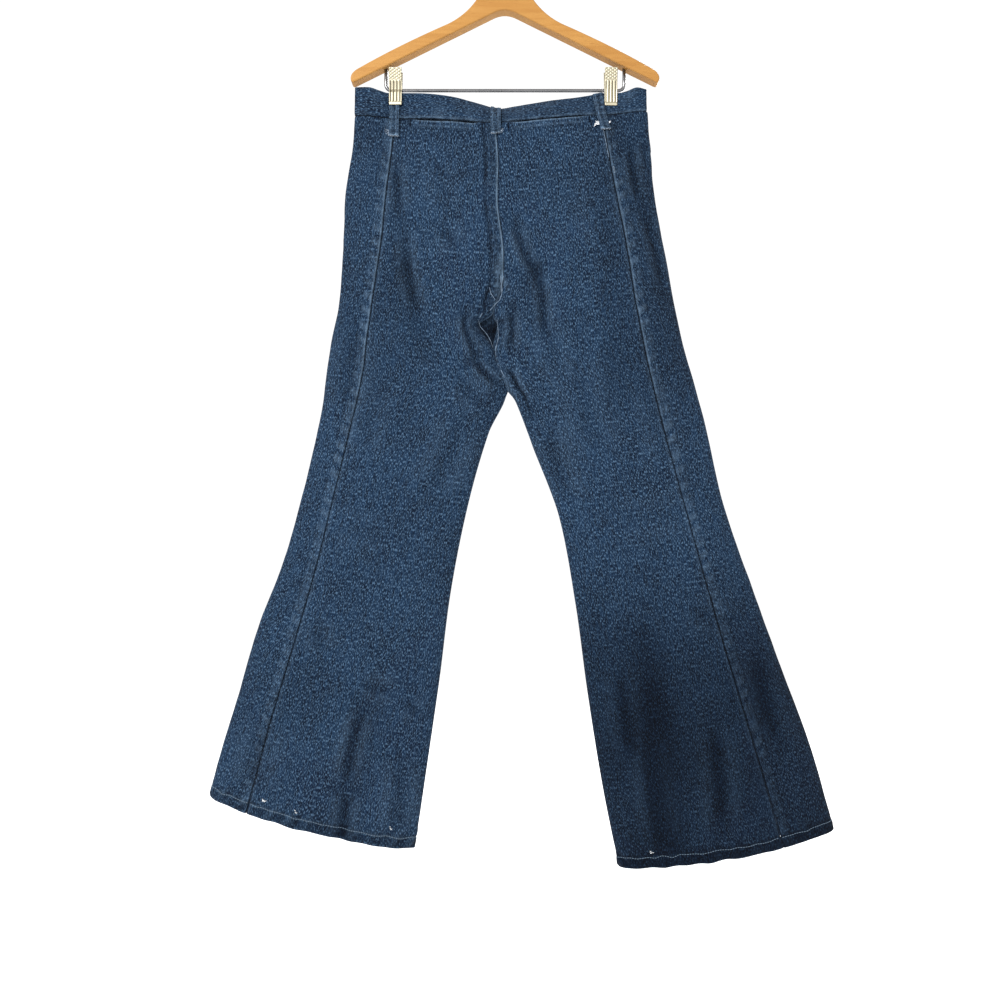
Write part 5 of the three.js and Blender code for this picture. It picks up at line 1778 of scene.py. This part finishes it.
class JeansDenimSettings(bpy.types.PropertyGroup):
    dark: colour("Dark warp", "Colour of the dyed warp where it is fresh", (0.0018, 0.0054, 0.0145))
    mid: colour("Mid blue", "Colour of the cloth's lighter streaks", (0.0063, 0.019, 0.044))
    light: colour("Flecks", "Colour of the pale weft that shows through", (0.066, 0.12, 0.192))
    worn: colour("Worn edges", "Colour of the cloth where seams and folds rub", (0.12, 0.185, 0.265))
    # deep is the painted shade colour, multiplied in by the shade mark
    deep: colour("Hollows", "Colour of the cloth in seam grooves and creases", (0.13, 0.17, 0.21))
    reverse: colour("Reverse", "Colour of the cloth's inside", (0.11, 0.15, 0.2))
    twill_pitch: length("Twill pitch", "Distance between two ribs of the twill", 0.0012, 0.0004, 0.004)


class JeansSewingSettings(bpy.types.PropertyGroup):
    seam_ridge: length("Seam ridge", "How far a seam's allowance lifts the cloth", 0.0007, 0, 0.003)
    seam_pucker: length("Seam pucker", "Height of the puckers along a seam", 0.0005, 0, 0.003)
    hem_pucker: length("Hem pucker", "Height of the slanting puckers in the hems", 0.0009, 0, 0.003)
    pale_thread: colour("Hem thread", "Colour of the thread in the hems", (0.13, 0.18, 0.235))
    blue_thread: colour("Seam thread", "Colour of the thread in seams, loops and fly", (0.024, 0.042, 0.07))
    worn_edge: colour("Worn edge", "Colour of bleached edges and of the outseam's mark", (0.19, 0.26, 0.35))
    dark_thread: colour("Tack thread", "Colour of the bar tacks at the pockets", (0.006, 0.011, 0.024))


class JeansHangerSettings(bpy.types.PropertyGroup):
    wood_light: colour("Light wood", "Colour of the wood between its grain lines", (0.36, 0.185, 0.052))
    wood_dark: colour("Dark wood", "Colour of the wood's grain lines", (0.3, 0.142, 0.037))
    wood_fleck: colour("Wood flecks", "Colour of the short rays in the wood", (0.2, 0.08, 0.02))
    chrome: colour("Chrome", "Colour of the hook, bar and springs", (0.2, 0.2, 0.205))


class JeansStageSettings(bpy.types.PropertyGroup):
    floor: colour("Floor", "Colour of the studio floor", (0.97, 0.97, 0.97))
    surround: FloatProperty(
        name="Surround", description="Brightness of the white surround", default=1.06, min=0, max=5,
    )
    key_power: power("Key light", "Power of the main soft light", 90)
    fill_power: power("Fill light", "Power of the fill light", 8)
    camera_distance: length("Camera distance", "Distance from the camera to the garment", 1.5, 0.2, 20)
    view_width: length("View width", "Width that the picture takes in at the garment", 1.42, 0.1, 20)


class JEANS_OT_panels(bpy.types.Operator):
    """Make the four leg panels with their creases and seam ridges"""

    bl_idname = "jeans.panels"
    bl_label = "Leg panels"

    def execute(self, context):
        for side in SIDES:
            panel_piece(side, False)
            panel_piece(side, True)
        allowance_piece()
        return {"FINISHED"}


class JEANS_OT_hems(bpy.types.Operator):
    """Make the turned-up layer inside each leg's end"""

    bl_idname = "jeans.hems"
    bl_label = "Hems"

    def execute(self, context):
        for side in SIDES:
            hem_piece(side)
        return {"FINISHED"}


class JEANS_OT_waistband(bpy.types.Operator):
    """Make the waistband, lapped at the centre front"""

    bl_idname = "jeans.waistband"
    bl_label = "Waistband"

    def execute(self, context):
        waistband_piece()
        return {"FINISHED"}


class JEANS_OT_belt_loops(bpy.types.Operator):
    """Make the five belt loops"""

    bl_idname = "jeans.belt_loops"
    bl_label = "Belt loops"

    def execute(self, context):
        for loop in LOOPS:
            loop_piece(loop.name)
        return {"FINISHED"}


class JEANS_OT_pockets(bpy.types.Operator):
    """Make the facings behind the two back pocket openings"""

    bl_idname = "jeans.pockets"
    bl_label = "Back pockets"

    def execute(self, context):
        for pocket in POCKETS:
            facing_piece(pocket)
        return {"FINISHED"}


class JEANS_OT_fly(bpy.types.Operator):
    """Make the fly's flap, the zip behind it and the button"""

    bl_idname = "jeans.fly"
    bl_label = "Fly"

    def execute(self, context):
        fly_flap_piece()
        zip_pieces()
        button_pieces()
        return {"FINISHED"}


class JEANS_OT_sewing(bpy.types.Operator):
    """Sew the hems, band, loops, fly and tacks"""

    bl_idname = "jeans.sewing"
    bl_label = "Sewing"

    def execute(self, context):
        sewing_pieces()
        loose_thread_pieces()
        return {"FINISHED"}


class JEANS_OT_hanger(bpy.types.Operator):
    """Make the wooden hanger with its hook and bar"""

    bl_idname = "jeans.hanger"
    bl_label = "Hanger"

    def execute(self, context):
        wood_piece()
        wire_pieces()
        return {"FINISHED"}


class JEANS_OT_clips(bpy.types.Operator):
    """Make the two clips"""

    bl_idname = "jeans.clips"
    bl_label = "Clips"

    def execute(self, context):
        for side in SIDES:
            jaw_piece(side, BACK)
            jaw_piece(side, FRONT)
            sleeve_piece(side)
        return {"FINISHED"}


# The stage, in metres: the camera stands level with the middle of the photo
CAMERA_X = -0.0071
CAMERA_Z = -0.815
FLOOR_HALF = 9.0
FLOOR_BELOW = 0.35
FRONT_LIGHT_SHARE = 0.8


def soft_light(name, place, target, size, energy):
    light = bpy.data.lights.new(name, "AREA")
    light.shape = "DISK"
    light.size = size
    light.energy = energy
    lamp = bpy.data.objects.new(name, light)
    lamp.location = place
    lamp.rotation_euler = (Vector(target) - Vector(place)).to_track_quat("-Z", "Y").to_euler()
    bpy.context.scene.collection.objects.link(lamp)


class JEANS_OT_stage(bpy.types.Operator):
    """Set the floor, the soft lights, the white surround and the camera"""

    bl_idname = "jeans.stage"
    bl_label = "Stage"

    def execute(self, context):
        stage = context.scene.jeans_stage
        floor_z = CAD_BOX[0].z - FLOOR_BELOW
        mesh = bpy.data.meshes.new("floor")
        ends = ((-1, -1), (1, -1), (1, 1), (-1, 1))
        corners = [(x * FLOOR_HALF, y * FLOOR_HALF, floor_z) for x, y in ends]
        mesh.from_pydata(corners, [], [(0, 1, 2, 3)])
        graph = Graph("studio_floor", uv_name=None)
        mesh.materials.append(graph.finish(tuple(stage.floor), 0.9))
        floor = bpy.data.objects.new("floor", mesh)
        context.scene.collection.objects.link(floor)
        world = bpy.data.worlds.new("surround")
        world.use_nodes = True
        background = world.node_tree.nodes["Background"]
        background.inputs["Color"].default_value = (1.0, 1.0, 1.0, 1.0)
        background.inputs["Strength"].default_value = stage.surround
        context.scene.world = world
        soft_light("key", (-1.3, -2.1, 0.75), (0, 0, -0.8), 1.0, stage.key_power)
        soft_light("fill", (1.8, -1.6, -0.5), (0, 0, -0.9), 1.6, stage.fill_power)
        soft_light("front", (0.9, 2.2, 0.5), (0, 0, -0.8), 1.4, stage.key_power * FRONT_LIGHT_SHARE)
        context.scene.view_settings.view_transform = "Standard"
        camera = bpy.data.cameras.new("camera")
        camera.lens = camera.sensor_width * stage.camera_distance / stage.view_width
        holder = bpy.data.objects.new("camera", camera)
        holder.location = (CAMERA_X, -stage.camera_distance, CAMERA_Z)
        holder.rotation_euler = (math.radians(90), 0, 0)
        context.scene.collection.objects.link(holder)
        context.scene.camera = holder
        return {"FINISHED"}


OPERATORS = (
    JEANS_OT_panels,
    JEANS_OT_hems,
    JEANS_OT_waistband,
    JEANS_OT_belt_loops,
    JEANS_OT_pockets,
    JEANS_OT_fly,
    JEANS_OT_sewing,
    JEANS_OT_hanger,
    JEANS_OT_clips,
    JEANS_OT_stage,
)
SETTINGS = {
    "jeans_denim": JeansDenimSettings,
    "jeans_sewing": JeansSewingSettings,
    "jeans_hanger": JeansHangerSettings,
    "jeans_stage": JeansStageSettings,
}


class JEANS_PT_sidebar(bpy.types.Panel):
    """Lists the operators and the settings of the jeans"""

    bl_idname = "JEANS_PT_sidebar"
    bl_label = "Flared jeans"
    bl_space_type = "VIEW_3D"
    bl_region_type = "UI"
    bl_category = "Jeans"

    def draw(self, context):
        for operator in OPERATORS:
            self.layout.operator(operator.bl_idname)
        for name, settings in SETTINGS.items():
            box = self.layout.box()
            for key in settings.__annotations__:
                box.prop(getattr(context.scene, name), key)


def register():
    for name, settings in SETTINGS.items():
        bpy.utils.register_class(settings)
        setattr(bpy.types.Scene, name, PointerProperty(type=settings))
    for operator in OPERATORS:
        bpy.utils.register_class(operator)
    bpy.utils.register_class(JEANS_PT_sidebar)


def unregister():
    bpy.utils.unregister_class(JEANS_PT_sidebar)
    for operator in reversed(OPERATORS):
        bpy.utils.unregister_class(operator)
    for name, settings in SETTINGS.items():
        delattr(bpy.types.Scene, name)
        bpy.utils.unregister_class(settings)


def main():
    register()
    for operator in OPERATORS:
        group, name = operator.bl_idname.split(".")
        getattr(getattr(bpy.ops, group), name)()


if __name__ == "__main__":
    main()
